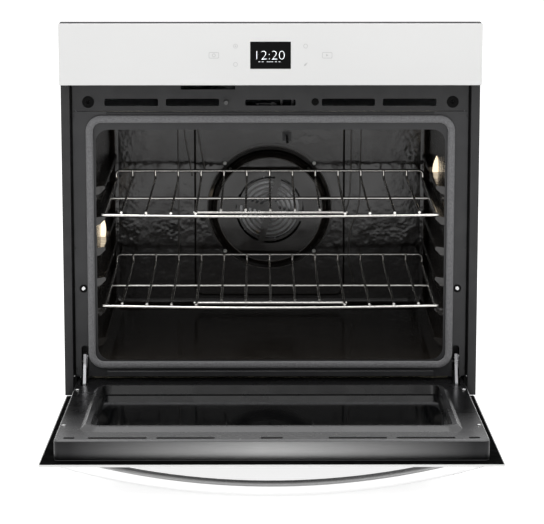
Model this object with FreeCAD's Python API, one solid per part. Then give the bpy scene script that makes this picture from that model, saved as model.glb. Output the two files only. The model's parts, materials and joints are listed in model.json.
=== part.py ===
"""Built-in single wall oven, 30 inch class, with the door standing open.

Millimetres. +X is to the user's right, -Y is the front, +Z is up. The origin is the
centre of the chassis' bottom face. The door parts are drawn closed, then turned about
the hinge pins to the open position that the oven rests in.
"""
import FreeCAD
import Part
import math
import os

V = FreeCAD.Vector

# ---- driving dimensions -------------------------------------------------------------
FACE_WIDTH = 755.6          # control panel and door glass
OVERALL_HEIGHT = 737.0
BODY_WIDTH = 704.0          # the box that goes into the cabinet cut-out
BODY_DEPTH = 590.0
BODY_HEIGHT = 672.0
SHEET = 1.2                 # pressed steel
GAP = 0.3                   # clearance between neighbouring pieces

FRONT = -BODY_DEPTH / 2     # front face of the front frame
BACK = BODY_DEPTH / 2
FACE = FRONT - 47.0         # outer face of the door glass and control panel
HALF_BODY = BODY_WIDTH / 2
HALF_FACE = FACE_WIDTH / 2

# cavity
CAVITY_HALF = 318.5
CAVITY_FLOOR = 115.0
CAVITY_ROOF = 556.0
CAVITY_DEPTH = 500.0
CAVITY_CORNER = 24.0
CAVITY_BACK = FRONT + CAVITY_DEPTH
OPENING_HALF = 317.0
OPENING_LOW = 114.0
OPENING_HIGH = 541.0        # the frame hangs below the roof as a heat lip
FAN_Z = 318.0
PLATEAU = 6.0               # raised centre panel of the back wall
PANEL_HALF = 152.0

# racks
RACK_PITCH = 56.67
LOWEST_RACK = 152.8
RACK_LEVELS = [LOWEST_RACK + RACK_PITCH * i for i in range(6)]
LOWER_RACK_Z = RACK_LEVELS[1]
UPPER_RACK_Z = RACK_LEVELS[4]
RACK_HALF = 309.0
RACK_FRONT = FRONT + 30.0
RACK_DEPTH = 415.0
RAIL_R = 3.0
WIRE_R = 2.3
FENCE_RISE = 20.0
RAIL_BOW = 20.0
GUIDE_REACH = 15.0

# front frame and vent strip
FRAME_HALF = 357.5
FRAME_LOW = 83.0
FRAME_HIGH = 574.0
STRIP_HIGH = 660.0
VENT_Z = 590.5
SEAL_HALF = 334.3
SEAL_LOW = 98.8
SEAL_HIGH = 567.2
SEAL_WIDTH = 13.5
SEAL_THICK = 6.6

# control panel
PANEL_LOW = 626.7
GLASS = 4.0
DISPLAY_Z = 680.5
DISPLAY_W = 72.5
DISPLAY_H = 48.6

# door
DOOR_LOW = 30.0
DOOR_HIGH = 623.5
LINER_HALF = 355.0
LINER_LOW = 36.0
LINER_HIGH = 597.0
LINER_FACE = FRONT - 7.0
WINDOW_HALF = 295.0
WINDOW_LOW = 172.0
WINDOW_HIGH = 512.0
RECESS = 6.0                # window glass below the liner's flat face
PLUG_HALF = 318.0           # raised part of the liner that enters the cavity's mouth
PLUG_LOW = 141.0
PLUG_HIGH = 536.0
PLUG_RISE = 8.0
PLUG_DRAFT = 9.0
PLUG_CORNER = 30.0
OPEN_ANGLE = 87.2
PIVOT_Y = FRONT - 21.0
PIVOT_Z = 66.0
HINGE_X = 341.0
SIDE_SCREW_X = 342.0
SIDE_SCREW_Z = 248.0

# handle
HANDLE_Z = DOOR_HIGH - 55.0
HANDLE_REACH = 60.0
HANDLE_BAR = 25.0
HANDLE_HALF = 356.0
HANDLE_RADIUS = 1265.0
HANDLE_HEIGHT = 22.0

# lamps: side of the cavity, depth behind the front frame, height
LAMPS = [(-1, 172.0, 327.0), (1, 235.0, 429.0)]
LAMP_R = 30.0

# mounting rails, trims and pans
MOUNT_HOLE_X = 369.0
MOUNT_HOLE_ZS = (110.0, 606.0)
MOUNT_HOLE_R = 2.3
RAIL_LOW = 84.0
RAIL_TOP = PANEL_LOW - 1.5
TRIM_LOW = 50.0
TRIM_FACE = FRONT - 12.0       # front plane of the side trims
TRIM_INNER = 362.0
PAN_FRONT = FRONT + 30.0        # the door's bottom edge sweeps back to just before it
DOOR_SWING_TOP = 84.5
FLANGE_BACK = FRONT + 2.6

# back panel
CONDUIT_AT = (-250.0, 628.0)
CONDUIT_R = 11.1
REAR_SCREWS = [(x, z) for x in (-335, -110, 110, 335) for z in (30, 652)] + [
    (x, z) for x in (-335, 335) for z in (250, 470)]

# component deck and cooling blower
DECK_Z = CAVITY_ROOF + 25.0     # component deck above the cavity
BLOWER_AT = (0.0, 160.0)        # x and y of the cooling blower
BLOWER_Z0 = DECK_Z + 3.0
BLOWER_H = 46.0

# door latch and door switch
LATCH_X = 4.0
LATCH_Y = FRONT + 18.0
LATCH_PIN_R = 3.0
LATCH_Z = DECK_Z + SHEET + 3.0
LATCH_LENGTH = 30.0
LATCH_THICK = 2.0
LATCH_SWING = 90.0
PLUNGER_PROUD = 11.6

# fan cover grille: rings of curved slots, parted by four spokes
GRILLE_RINGS = 6
GRILLE_INNER = 21.0
GRILLE_PITCH = 9.0
GRILLE_SLOT = 4.6
GRILLE_SPOKE = 13.0
GRILLE_TILT = 15.0

# door screws
DOOR_SCREWS = [(-347.0, 160.0), (347.0, 160.0), (-347.0, 480.0), (347.0, 480.0)]

# front vent strip: screw cups, plain screw and switch bore, all on one line
CUP_X = 329.3
CUP_BORE = 10.0
STRIP_SCREW_X = 80.8
SWITCH_X = -80.0
STRIP_LINE_Z = VENT_Z + 0.8

# convection fan, cover and ring heater, as depths in front of the back wall
FAN_COVER_DEPTH = 38.0
FAN_DEPTH = 26.0
RING_HEATER_DEPTH = 20.0
RING_HEATER_R = 88.0
FAN_BLADES = 6
COVER_SCREW_R = 127.0
COVER_SCREW_ANGLES = (45, 135, 225, 315)

OUT = "parts"


# ---- helpers ------------------------------------------------------------------------
def box(x0, x1, y0, y1, z0, z1):
    return Part.makeBox(x1 - x0, y1 - y0, z1 - z0, V(x0, y0, z0))


def rod(start, direction, radius, length):
    return Part.makeCylinder(radius, length, V(*start), V(*direction))


def fuse(shapes):
    whole = shapes[0].multiFuse(shapes[1:]) if len(shapes) > 1 else shapes[0]
    return whole.removeSplitter()


def mirrored(shape):
    return shape.mirror(V(0, 0, 0), V(1, 0, 0))


def both_sides(shape):
    return [shape, mirrored(shape)]


def rounded_wire(half, low, high, radius, y):
    """Rounded rectangle in the plane of that y, centred on X, running once round."""
    k = radius * (1 - math.sqrt(0.5))
    corners = [(half, low), (half, high), (-half, high), (-half, low)]
    runs = [((half, low + radius), (half, high - radius)),
            ((half - radius, high), (-half + radius, high)),
            ((-half, high - radius), (-half, low + radius)),
            ((-half + radius, low), (half - radius, low))]
    edges = []
    for i, (a, b) in enumerate(runs):
        edges.append(Part.LineSegment(V(a[0], y, a[1]), V(b[0], y, b[1])).toShape())
        cx, cz = corners[(i + 1) % 4]
        mid = V(cx - math.copysign(k, cx), y, cz + (k if cz == low else -k))
        nxt = runs[(i + 1) % 4][0]
        edges.append(Part.Arc(V(b[0], y, b[1]), mid, V(nxt[0], y, nxt[1])).toShape())
    return Part.Wire(edges)


def rounded_slab(half, low, high, radius, y0, y1):
    face = Part.Face(rounded_wire(half, low, high, radius, y0))
    return face.extrude(V(0, y1 - y0, 0))


def slot_cut(x0, x1, z0, z1, y0, y1):
    """A stadium-shaped cutter through a sheet that faces the front."""
    r = (z1 - z0) / 2
    mid = (z0 + z1) / 2
    parts = [box(x0 + r, x1 - r, y0, y1, z0, z1),
             rod((x0 + r, y0, mid), (0, 1, 0), r, y1 - y0),
             rod((x1 - r, y0, mid), (0, 1, 0), r, y1 - y0)]
    return fuse(parts)


def bent_wire(points, bend, radius):
    """A round wire through the points, with an arc of radius bend at each corner."""
    pts = [V(*p) for p in points]
    edges = []
    at = pts[0]
    for i in range(1, len(pts) - 1):
        a = (pts[i - 1] - pts[i]).normalize()
        b = (pts[i + 1] - pts[i]).normalize()
        half = math.acos(max(-1.0, min(1.0, a.dot(b)))) / 2
        reach = bend / math.tan(half)
        middle = (a + b).normalize() * (bend / math.sin(half) - bend)
        start, end = pts[i] + a * reach, pts[i] + b * reach
        if (start - at).Length > 1e-6:
            edges.append(Part.LineSegment(at, start).toShape())
        edges.append(Part.Arc(start, pts[i] + middle, end).toShape())
        at = end
    edges.append(Part.LineSegment(at, pts[-1]).toShape())
    path = Part.Wire(edges)
    ring = Part.Wire([Part.makeCircle(radius, pts[0], (pts[1] - pts[0]).normalize())])
    return path.makePipeShell([ring], True, False)


def turned(profile, axis_point, axis):
    """Solid of revolution of a closed polygon of points."""
    wire = Part.makePolygon([V(*p) for p in profile + [profile[0]]])
    return Part.Face(wire).revolve(V(*axis_point), V(*axis), 360)


def screw(at, axis, head=4.5, rise=2.4, shank=1.9, length=8.0):
    """Pan-head screw with a cross recess; axis points from the sheet out of the head."""
    a = V(*axis).normalize()
    base = V(*at)
    body = Part.makeCylinder(head, rise, base, a)
    edge = [e for e in body.Edges if abs((e.CenterOfMass - base - a * rise).Length) < 0.1]
    body = body.makeFillet(rise * 0.55, edge[:1])
    side = V(0, 0, 1) if abs(a.z) < 0.5 else V(1, 0, 0)
    other = a.cross(side)
    for first, second in ((side, other), (other, side)):
        corner = base + a * (rise * 0.45) - first * (head * 0.5) - second * 0.5
        plane = Part.makePolygon([corner, corner + first * head, corner + first * head + second,
                                  corner + second, corner])
        body = body.cut(Part.Face(plane).extrude(a * rise))
    stem = Part.makeCylinder(shank, length, base - a * length, a)
    return body.fuse(stem)


def pan_hole(at, axis, radius=2.1, length=6.0):
    a = V(*axis).normalize()
    return Part.makeCylinder(radius, length, V(*at) - a * (length / 2), a)


def opened(shapes):
    """Turns closed-door shapes about the hinge pins to the open position."""
    return [s.rotated(V(0, PIVOT_Y, PIVOT_Z), V(1, 0, 0), OPEN_ANGLE) for s in shapes]


# ---- chassis ------------------------------------------------------------------------


def base_pan():
    sheet = box(-HALF_BODY, HALF_BODY, PAN_FRONT, BACK, 0, SHEET)
    lips = [box(-HALF_BODY + SHEET, HALF_BODY - SHEET, PAN_FRONT, PAN_FRONT + SHEET,
                SHEET, 18),
            box(-HALF_BODY + SHEET, HALF_BODY - SHEET, BACK - SHEET - 1.5, BACK - 1.5,
                SHEET, 18)]
    runners = [box(x - 22, x + 22, FRONT + 45, BACK - 20, SHEET, 12) for x in (-200, 200)]
    hollows = [box(x - 20.8, x + 20.8, FRONT + 44, BACK - 19, SHEET, 10.8)
               for x in (-200, 200)]
    return [fuse([sheet] + lips + [a.cut(b) for a, b in zip(runners, hollows)])]


def side_panel(side):
    sheet = box(HALF_BODY - SHEET, HALF_BODY, FRONT + 1.5, BACK, SHEET + GAP, BODY_HEIGHT)
    for row in range(3):
        for col in range(5):
            y = BACK - 150 + col * 26
            z = 596 + row * 22
            sheet = sheet.cut(box(HALF_BODY - 3, HALF_BODY + 3, y, y + 16, z, z + 5))
    bead = [rod((HALF_BODY - 0.4, FRONT + 70, z), (0, 1, 0), 3.0, 450) for z in (180, 330, 480)]
    sheet = sheet.cut(box(HALF_BODY - 3, HALF_BODY + 3, FRONT, PAN_FRONT, 0, DOOR_SWING_TOP))
    sheet = fuse([sheet] + [b.common(box(HALF_BODY - 0.6, HALF_BODY + 5, FRONT, BACK, 0, 700))
                            for b in bead])
    return [sheet if side > 0 else mirrored(sheet)]


def rear_panel():
    inner = HALF_BODY - SHEET - GAP
    sheet = box(-inner, inner, BACK - SHEET, BACK, SHEET + GAP, BODY_HEIGHT - SHEET - GAP)
    for x in (-150, -75, 0, 75, 150):
        for row in range(6):
            z = 540 + row * 18
            sheet = sheet.cut(slot_cut(x - 28, x + 28, z, z + 6, BACK - 3, BACK + 1))
    for x in (-60, 0, 60):
        for row in range(4):
            z = 60 + row * 18
            sheet = sheet.cut(slot_cut(x - 24, x + 24, z, z + 6, BACK - 3, BACK + 1))
    sheet = sheet.cut(rod((CONDUIT_AT[0], BACK - 3, CONDUIT_AT[1]), (0, 1, 0), CONDUIT_R + 2.5, 6))
    for x, z in REAR_SCREWS:
        sheet = sheet.cut(pan_hole((x, BACK, z), (0, 1, 0)))
    return [sheet]


def rear_screws():
    return [screw((x, BACK + 0.05, z), (0, 1, 0)) for x, z in REAR_SCREWS]


def top_cover():
    inner = HALF_BODY - SHEET - GAP
    top = BODY_HEIGHT
    sheet = box(-inner, inner, FRONT + 4, BACK - SHEET - GAP, top - SHEET, top)
    for x in (-220, -110, 0, 110, 220):
        for row in range(5):
            y = BACK - 150 + row * 22
            sheet = sheet.cut(box(x - 35, x + 35, y, y + 6, top - 3, top + 1))
    return [sheet]


def side_rail(side):
    """Mounting rail: flange against the cabinet and a hollow trim box in front of it."""
    outer = HALF_FACE
    walls = [box(HALF_BODY + 0.05, outer, FLANGE_BACK - SHEET, FLANGE_BACK, RAIL_LOW, RAIL_TOP),
             box(HALF_BODY + 0.05, HALF_BODY + SHEET, FLANGE_BACK - SHEET, FRONT + 34, RAIL_LOW,
                 RAIL_TOP),
             box(TRIM_INNER, outer, FLANGE_BACK - SHEET, FLANGE_BACK, TRIM_LOW, RAIL_LOW),
             box(outer - SHEET, outer, TRIM_FACE, FLANGE_BACK, TRIM_LOW, RAIL_TOP),
             box(TRIM_INNER, outer, TRIM_FACE, TRIM_FACE + SHEET, TRIM_LOW, RAIL_TOP),
             box(TRIM_INNER, TRIM_INNER + SHEET, TRIM_FACE, FLANGE_BACK, TRIM_LOW, RAIL_TOP)]
    rail = fuse(walls)
    edges = [e for e in rail.Edges
             if abs(e.CenterOfMass.y - TRIM_FACE) < 0.01 and e.Length > 100]
    rail = rail.makeFillet(1.0, edges)
    for z in MOUNT_HOLE_ZS:
        rail = rail.cut(rod((MOUNT_HOLE_X, FRONT - 1, z), (0, 1, 0), MOUNT_HOLE_R, 8))
    return [rail if side > 0 else mirrored(rail)]


def bottom_trim():
    plate = box(-HALF_FACE + 1, HALF_FACE - 1, FRONT - 40, FRONT - 40 + SHEET, 1, 16.5)
    shelf = box(-HALF_FACE + 1, HALF_FACE - 1, FRONT - 40 + SHEET, FRONT + 29.5, 1, 1 + SHEET)
    top_lip = box(-HALF_FACE + 1, HALF_FACE - 1, FRONT - 40 + SHEET, FRONT - 28, 15.3, 16.5)
    trim = fuse([plate, shelf, top_lip])
    for i in range(-7, 8):
        x = i * 46.0
        trim = trim.cut(slot_cut(x - 17, x + 17, 5.5, 11.5, FRONT - 42, FRONT - 36))
    return [trim]


def frame_holes():
    return [(x, z) for x in (-352.0, 352.0) for z in (97.0, 323.0, 566.0)]


def front_frame():
    plate = rounded_slab(FRAME_HALF, FRAME_LOW, FRAME_HIGH, 4, FRONT, FRONT + SHEET)
    hole = rounded_slab(OPENING_HALF, OPENING_LOW, OPENING_HIGH, CAVITY_CORNER,
                        FRONT - 5, FRONT + 8)
    plate = plate.cut(hole)
    bead = rod((-295, FRONT - 0.2, 571.0), (1, 0, 0), 1.8, 590)
    ends = [Part.makeSphere(1.8, V(x, FRONT - 0.2, 571.0)) for x in (-295, 295)]
    plate = plate.fuse([bead.cut(box(-400, 400, FRONT + 0.6, FRONT + 9, 560, 580))]
                       + [e.cut(box(-400, 400, FRONT + 0.6, FRONT + 9, 560, 580)) for e in ends])
    back_lip = box(-329, 329, FRONT + SHEET, FRONT + 14, FRAME_LOW,
                   FRAME_LOW + SHEET)
    plate = fuse([plate, back_lip])
    for side in (-1, 1):
        x = side * HINGE_X
        plate = plate.cut(box(x - 6.5, x + 6.5, FRONT - 3, FRONT + 16, FRAME_LOW - 1, 135))
        plate = plate.cut(rod((x, FRONT - 3, 135), (0, 1, 0), 6.5, 8))
        plate = plate.cut(rod((side * SIDE_SCREW_X, FRONT - 4, SIDE_SCREW_Z), (0, 1, 0), 6.6, 8))
    for x, z in frame_holes():
        notch = rod((math.copysign(FRAME_HALF, x), FRONT - 4, z), (0, 1, 0), 3.2, 8)
        plate = plate.cut(notch)
    return [plate]


def lower_sill():
    sill = box(-300, 300, FRONT - 5.2, FRONT - 0.05, FRAME_LOW + 0.5, 94.5)
    long_edges = [e for e in sill.Edges if e.Length > 500 and e.CenterOfMass.y < FRONT - 5]
    return [sill.makeFillet(1.5, long_edges)]


def vent_strip():
    """Dark strip above the cavity: four air slots, the latch slot and a light notch."""
    strip = box(-FRAME_HALF, FRAME_HALF, FRONT - 0.6, FRONT + 0.6, FRAME_HIGH + 1.0, STRIP_HIGH)
    back_lip = box(-350, 350, FRONT + 0.6, FRONT + 12, STRIP_HIGH - SHEET,
                   STRIP_HIGH)
    strip = fuse([strip, back_lip])
    for side in (-1, 1):
        for a, b in ((92.8, 188.8), (203.0, 299.8)):
            x0, x1 = sorted((side * a, side * b))
            strip = strip.cut(rounded_slot(x0, x1, VENT_Z - 6.8, VENT_Z + 6.8, 3.2))
    strip = strip.cut(rounded_slot(-45.5, 45.5, VENT_Z - 6.0, VENT_Z + 5.0, 3.0))
    strip = strip.cut(box(-161.5, -64.0, FRONT - 2, FRONT + 2, 614.0, 632.0))
    bores = ((-CUP_X, CUP_BORE), (CUP_X, CUP_BORE), (SWITCH_X, 7.4), (STRIP_SCREW_X, 2.1))
    for x, r in bores:
        strip = strip.cut(rod((x, FRONT - 3, STRIP_LINE_Z), (0, 1, 0), r, 6))
    return [strip]


def rounded_slot(x0, x1, z0, z1, r):
    cx = (x0 + x1) / 2
    cut = rounded_slab((x1 - x0) / 2, z0, z1, r, FRONT - 3, FRONT + 3)
    cut.translate(V(cx, 0, 0))
    return cut


def strip_cups():
    """Two round rubber-lined screw cups and the bezel of the door switch."""
    cups = []
    z = STRIP_LINE_Z
    for x in (-CUP_X, CUP_X):
        cup = turned([(x + 3.0, FRONT - 1.8, z), (x + 10.4, FRONT - 1.8, z),
                      (x + 10.8, FRONT - 0.7, z), (x + 9.8, FRONT - 0.7, z),
                      (x + 9.8, FRONT + 6.0, z), (x + 2.4, FRONT + 6.0, z),
                      (x + 2.4, FRONT + 4.8, z), (x + 7.6, FRONT + 4.8, z),
                      (x + 6.4, FRONT - 0.2, z), (x + 3.0, FRONT + 0.4, z)], (x, FRONT, z),
                     (0, 1, 0))
        cups.append(cup)
    return cups


def strip_screws():
    z = STRIP_LINE_Z
    deep = [screw((x, FRONT + 0.7, z), (0, -1, 0), 2.2, 1.6, 1.5, 8.0) for x in (-CUP_X, CUP_X)]
    return deep + [screw((STRIP_SCREW_X, FRONT - 0.65, z), (0, -1, 0), 6.6, 2.6, 1.9, 10.0)]


def frame_screws():
    """Bright screws in the sides of the front frame."""
    return [screw((x, FRONT + 1.5, SIDE_SCREW_Z), (0, -1, 0), 4.15, 2.6, 2.0, 10.0)
            for x in (-SIDE_SCREW_X, SIDE_SCREW_X)]


def frame_grommets():
    """Black rings round the bright side screws."""
    rings = []
    z = SIDE_SCREW_Z
    for x in (-SIDE_SCREW_X, SIDE_SCREW_X):
        profile = [(x + 4.5, FRONT - 1.4, z), (x + 7.3, FRONT - 1.0, z),
                   (x + 7.3, FRONT - 0.1, z), (x + 6.4, FRONT - 0.1, z),
                   (x + 6.4, FRONT + 2.4, z), (x + 2.3, FRONT + 2.4, z),
                   (x + 2.3, FRONT + 1.6, z), (x + 4.5, FRONT + 1.6, z)]
        rings.append(turned(profile, (x, FRONT, z), (0, 1, 0)))
    return rings


def cavity_liner():
    """Enamelled box: rounded tube of walls, back wall with a raised panel, rack guides."""
    y0, y1 = FRONT + SHEET + GAP, CAVITY_BACK
    outer = rounded_slab(CAVITY_HALF + SHEET, CAVITY_FLOOR - SHEET, CAVITY_ROOF + SHEET,
                         CAVITY_CORNER + SHEET, y0, y1 + SHEET)
    inner = rounded_slab(CAVITY_HALF, CAVITY_FLOOR, CAVITY_ROOF, CAVITY_CORNER, y0 - 1, y1)
    rim = [e for e in inner.Edges if e.BoundBox.YMin > y1 - 0.01]
    inner = inner.makeFillet(14.0, rim)
    walls = outer.cut(inner)
    flange = rounded_slab(CAVITY_HALF + 12, CAVITY_FLOOR - 12, CAVITY_ROOF + 10,
                          CAVITY_CORNER + 10, y0, y0 + SHEET)
    flange = flange.cut(inner)
    extras = [flange]
    panel = rounded_slab(PANEL_HALF, 135, 545, 20, y1 - PLATEAU, y1 + 0.4)
    front = [e for e in panel.Edges if e.BoundBox.YMax < y1 - PLATEAU + 0.01]
    extras.append(panel.makeFillet(5.0, front))
    for z in RACK_LEVELS:
        top = z - RAIL_R - GAP
        profile = [(CAVITY_HALF + 0.5, top), (CAVITY_HALF - GUIDE_REACH + 2, top),
                   (CAVITY_HALF - GUIDE_REACH, top - 2), (CAVITY_HALF - GUIDE_REACH, top - 6),
                   (CAVITY_HALF - 6, top - 14), (CAVITY_HALF + 0.5, top - 15)]
        wire = Part.makePolygon([V(x, FRONT + 22, zz) for x, zz in profile + [profile[0]]])
        guide = Part.Face(wire).extrude(V(0, 434, 0))
        for y, direction in ((FRONT + 22, -1), (FRONT + 456, 1)):
            cutter = Part.makePolygon([
                V(CAVITY_HALF, y, top + 2), V(CAVITY_HALF - 20, y, top + 2),
                V(CAVITY_HALF - 20, y - direction * 18, top + 2), V(CAVITY_HALF, y, top + 2)])
            guide = guide.cut(Part.Face(cutter).extrude(V(0, 0, -25)))
        extras += both_sides(guide)
    liner = fuse([walls] + extras)
    for side, depth, z in LAMPS:
        liner = liner.cut(rod((side * (CAVITY_HALF - 30), FRONT + depth, z), (side, 0, 0),
                              LAMP_R + 1.2, 40))
    liner = liner.cut(rod((0, y1 - 20, FAN_Z), (0, 1, 0), 9.0, 30))
    liner = liner.cut(rod((35, y1 - 20, 462), (0, 1, 0), 4.0, 30))
    for x in (-70, 70):
        liner = liner.cut(rod((x, y1 - 20, 534), (0, 1, 0), 6.0, 30))
    for angle in (60, 120):
        liner = liner.cut(rod(ring_point(98.0, angle, y1 - 20), (0, 1, 0), 5.0, 30))
    return [liner]


def ring_point(radius, degrees, y):
    a = math.radians(degrees)
    return (radius * math.cos(a), y, FAN_Z + radius * math.sin(a))


def door_gasket():
    """Flat-oval braided seal round the opening, as thick as when the door is shut."""
    inset = SEAL_WIDTH / 2
    y = FRONT - 0.05 - SEAL_THICK / 2
    path = rounded_wire(SEAL_HALF - inset, SEAL_LOW + inset, SEAL_HIGH - inset, 29.0, y)
    start = V(SEAL_HALF - inset, y, SEAL_LOW + inset + 29.0)
    oval = Part.Ellipse(start + V(SEAL_WIDTH / 2, 0, 0), start + V(0, SEAL_THICK / 2, 0), start)
    return [path.makePipeShell([Part.Wire([oval.toShape()])], True, False)]


def insulation():
    """Fibre blanket in four slabs round the liner, clear of the lamps and the motor."""
    side = box(CAVITY_HALF + 2, HALF_BODY - SHEET - 6, FRONT + 40, CAVITY_BACK + 1,
               100, CAVITY_ROOF - 4)
    sides = both_sides(side)
    cut_sides = []
    for slab in sides:
        for s, depth, z in LAMPS:
            slab = slab.cut(rod((s * CAVITY_HALF, FRONT + depth, z), (s, 0, 0), 36.0, 60))
        cut_sides.append(slab)
    top = box(-335, 335, FRONT + 18, CAVITY_BACK + 1, CAVITY_ROOF + 2, CAVITY_ROOF + 22)
    bottom = box(-335, 335, FRONT + 40, CAVITY_BACK + 1, 64, 92)
    rear = box(-325, 325, CAVITY_BACK + 2, CAVITY_BACK + 26, 66, CAVITY_ROOF + 20)
    rear = rear.cut(rod((0, CAVITY_BACK, FAN_Z), (0, 1, 0), 66, 60))
    rear = rear.cut(box(14, 56, CAVITY_BACK, CAVITY_BACK + 60, 440, 484))
    rear = rear.cut(box(-92, 92, CAVITY_BACK, CAVITY_BACK + 60, 518, 550))
    rear = rear.cut(box(-66, 66, CAVITY_BACK, CAVITY_BACK + 60, 385, 425))
    rear = rear.cut(box(-110, 110, CAVITY_BACK, CAVITY_BACK + 60, 66, 110))
    return cut_sides + [top, bottom, rear]


def liner_straps():
    """Galvanised straps that tie the blanket down and carry the cavity on the base."""
    out = []
    for y in (FRONT + 110, FRONT + 400):
        for x in (-240, 240):
            foot = box(x - 20, x + 20, y, y + 30, 12.2, 63.6)
            inner = box(x - 18.8, x + 18.8, y - 1, y + 31, 13.4, 62.4)
            out.append(foot.cut(inner))
    for y in (FRONT + 110, FRONT + 400):
        out.append(box(-335, 335, y, y + 24, CAVITY_ROOF + 22.2, CAVITY_ROOF + 23.2))
    return out


# ---- control panel ------------------------------------------------------------------
def control_glass():
    sheet = rounded_slab(HALF_FACE, PANEL_LOW, OVERALL_HEIGHT, 2.0, FACE, FACE + GLASS)
    rim = [e for e in sheet.Edges if e.BoundBox.YMax < FACE + 0.01]
    return [sheet.makeFillet(1.0, rim)]


def control_housing():
    """Steel tray behind the control glass, open at the back, lip over the cut-out."""
    y0, y1 = FACE + GLASS + 0.2, FRONT - 1.2
    outer = box(-HALF_FACE + 1.0, HALF_FACE - 1.0, y0, y1, PANEL_LOW + 1.0, OVERALL_HEIGHT - 0.6)
    inner = box(-HALF_FACE + 2.4, HALF_FACE - 2.4, y0 + 1.5, y1 + 1, PANEL_LOW + 2.4,
                OVERALL_HEIGHT - 2.0)
    tray = outer.cut(inner)
    tray = tray.cut(box(-48, 48, y0 - 1, y0 + 3, DISPLAY_Z - 32, DISPLAY_Z + 32))
    flange = box(-HALF_FACE + 1.0, HALF_FACE - 1.0, y1 - 1.2, y1, BODY_HEIGHT + 1,
                 OVERALL_HEIGHT - 1.2)
    return [fuse([tray, flange])]


def display_module():
    """Screen of the user interface, lying against the back of the glass."""
    screen = box(-DISPLAY_W / 2, DISPLAY_W / 2, FACE + GLASS + 0.3, FACE + GLASS + 4.3,
                 DISPLAY_Z - DISPLAY_H / 2, DISPLAY_Z + DISPLAY_H / 2)
    bezel = box(-DISPLAY_W / 2 - 4, DISPLAY_W / 2 + 4, FACE + GLASS + 4.3, FACE + GLASS + 8.3,
                DISPLAY_Z - DISPLAY_H / 2 - 4, DISPLAY_Z + DISPLAY_H / 2 + 4)
    return [fuse([screen, bezel])]


def touch_board():
    y = FACE + GLASS + 9.0
    board = box(-135, 135, y, y + 1.6, DISPLAY_Z - 38, DISPLAY_Z + 38)
    parts = [box(x - 9, x + 9, y + 1.6, y + 7, DISPLAY_Z - 12, DISPLAY_Z + 6)
             for x in (-100, -40, 30, 90)]
    parts.append(box(-20, 20, y + 1.6, y + 10, DISPLAY_Z + 18, DISPLAY_Z + 30))
    for x in (-128, 128):
        for z in (DISPLAY_Z - 31, DISPLAY_Z + 31):
            board = board.cut(rod((x, y - 1, z), (0, 1, 0), 2.0, 5))
    return [fuse([board] + parts)]


def board_standoffs():
    """Posts that hold the touch board off the housing tray."""
    y0 = FACE + GLASS + 1.9
    return [rod((x, y0, z), (0, 1, 0), 4.0, 6.9)
            for x in (-128, 128) for z in (DISPLAY_Z - 31, DISPLAY_Z + 31)]


# ---- electrics and air in the top of the chassis ------------------------------------


def component_deck():
    """Shelf over the cavity; its front half is the floor of the cooling air duct."""
    inner = HALF_BODY - SHEET - GAP
    deck = box(-inner, inner, FRONT + 14, BACK - SHEET - GAP, DECK_Z, DECK_Z + SHEET)
    return [deck]


def air_duct():
    """Sheet duct from the blower's mouth to the slots of the vent strip."""
    z0, z1 = DECK_Z + SHEET + 0.2, DECK_Z + 36
    y0, y1 = FRONT + 60, BLOWER_AT[1] - 62
    outer = [V(-330, y0, z0), V(330, y0, z0), V(90, y1, z0), V(-90, y1, z0), V(-330, y0, z0)]
    solid = Part.Face(Part.makePolygon(outer)).extrude(V(0, 0, z1 - z0))
    t = 1.2
    hollow = [V(-330 + 2 * t, y0 - 1, z0 - 1), V(330 - 2 * t, y0 - 1, z0 - 1),
              V(90 - t, y1 + 1, z0 - 1), V(-90 + t, y1 + 1, z0 - 1), V(-330 + 2 * t, y0 - 1, z0 - 1)]
    void = Part.Face(Part.makePolygon(hollow)).extrude(V(0, 0, z1 - z0 + 1 - t))
    return [solid.cut(void)]


def blower_housing():
    """Scroll box of the centrifugal cooling blower, open at the front and on top."""
    cx, cy = BLOWER_AT
    z0, z1 = BLOWER_Z0, BLOWER_Z0 + BLOWER_H
    body = rod((cx, cy, z0), (0, 0, 1), 74, z1 - z0)
    mouth = box(cx - 74, cx + 74, cy - 61, cy, z0, z1)
    hollow = rod((cx, cy, z0 + SHEET), (0, 0, 1), 74 - SHEET, z1 - z0 - 2 * SHEET)
    throat = box(cx - 74 + SHEET, cx + 74 - SHEET, cy - 80, cy, z0 + SHEET, z1 - SHEET)
    inlet = rod((cx, cy, z1 - 5), (0, 0, 1), 48, 10)
    return [fuse([body, mouth]).cut(fuse([hollow, throat])).cut(inlet)]


def blower_motor():
    """Motor above the inlet on three arms, with its shaft down into the impeller."""
    cx, cy = BLOWER_AT
    z1 = BLOWER_Z0 + BLOWER_H
    can = rod((cx, cy, z1 + 12), (0, 0, 1), 34, 24)
    arms = []
    for i in range(3):
        arm = box(cx + 20, cx + 64, cy - 6, cy + 6, z1 + 10, z1 + 12)
        leg = box(cx + 62, cx + 64, cy - 6, cy + 6, z1 + 0.1, z1 + 10)
        both = fuse([arm, leg])
        both.rotate(V(cx, cy, 0), V(0, 0, 1), 60 + 120 * i)
        arms.append(both)
    shaft = rod((cx, cy, BLOWER_Z0 + 10), (0, 0, 1), 3.0, z1 + 12 - BLOWER_Z0 - 10)
    return [fuse([can, shaft] + arms)]


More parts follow.
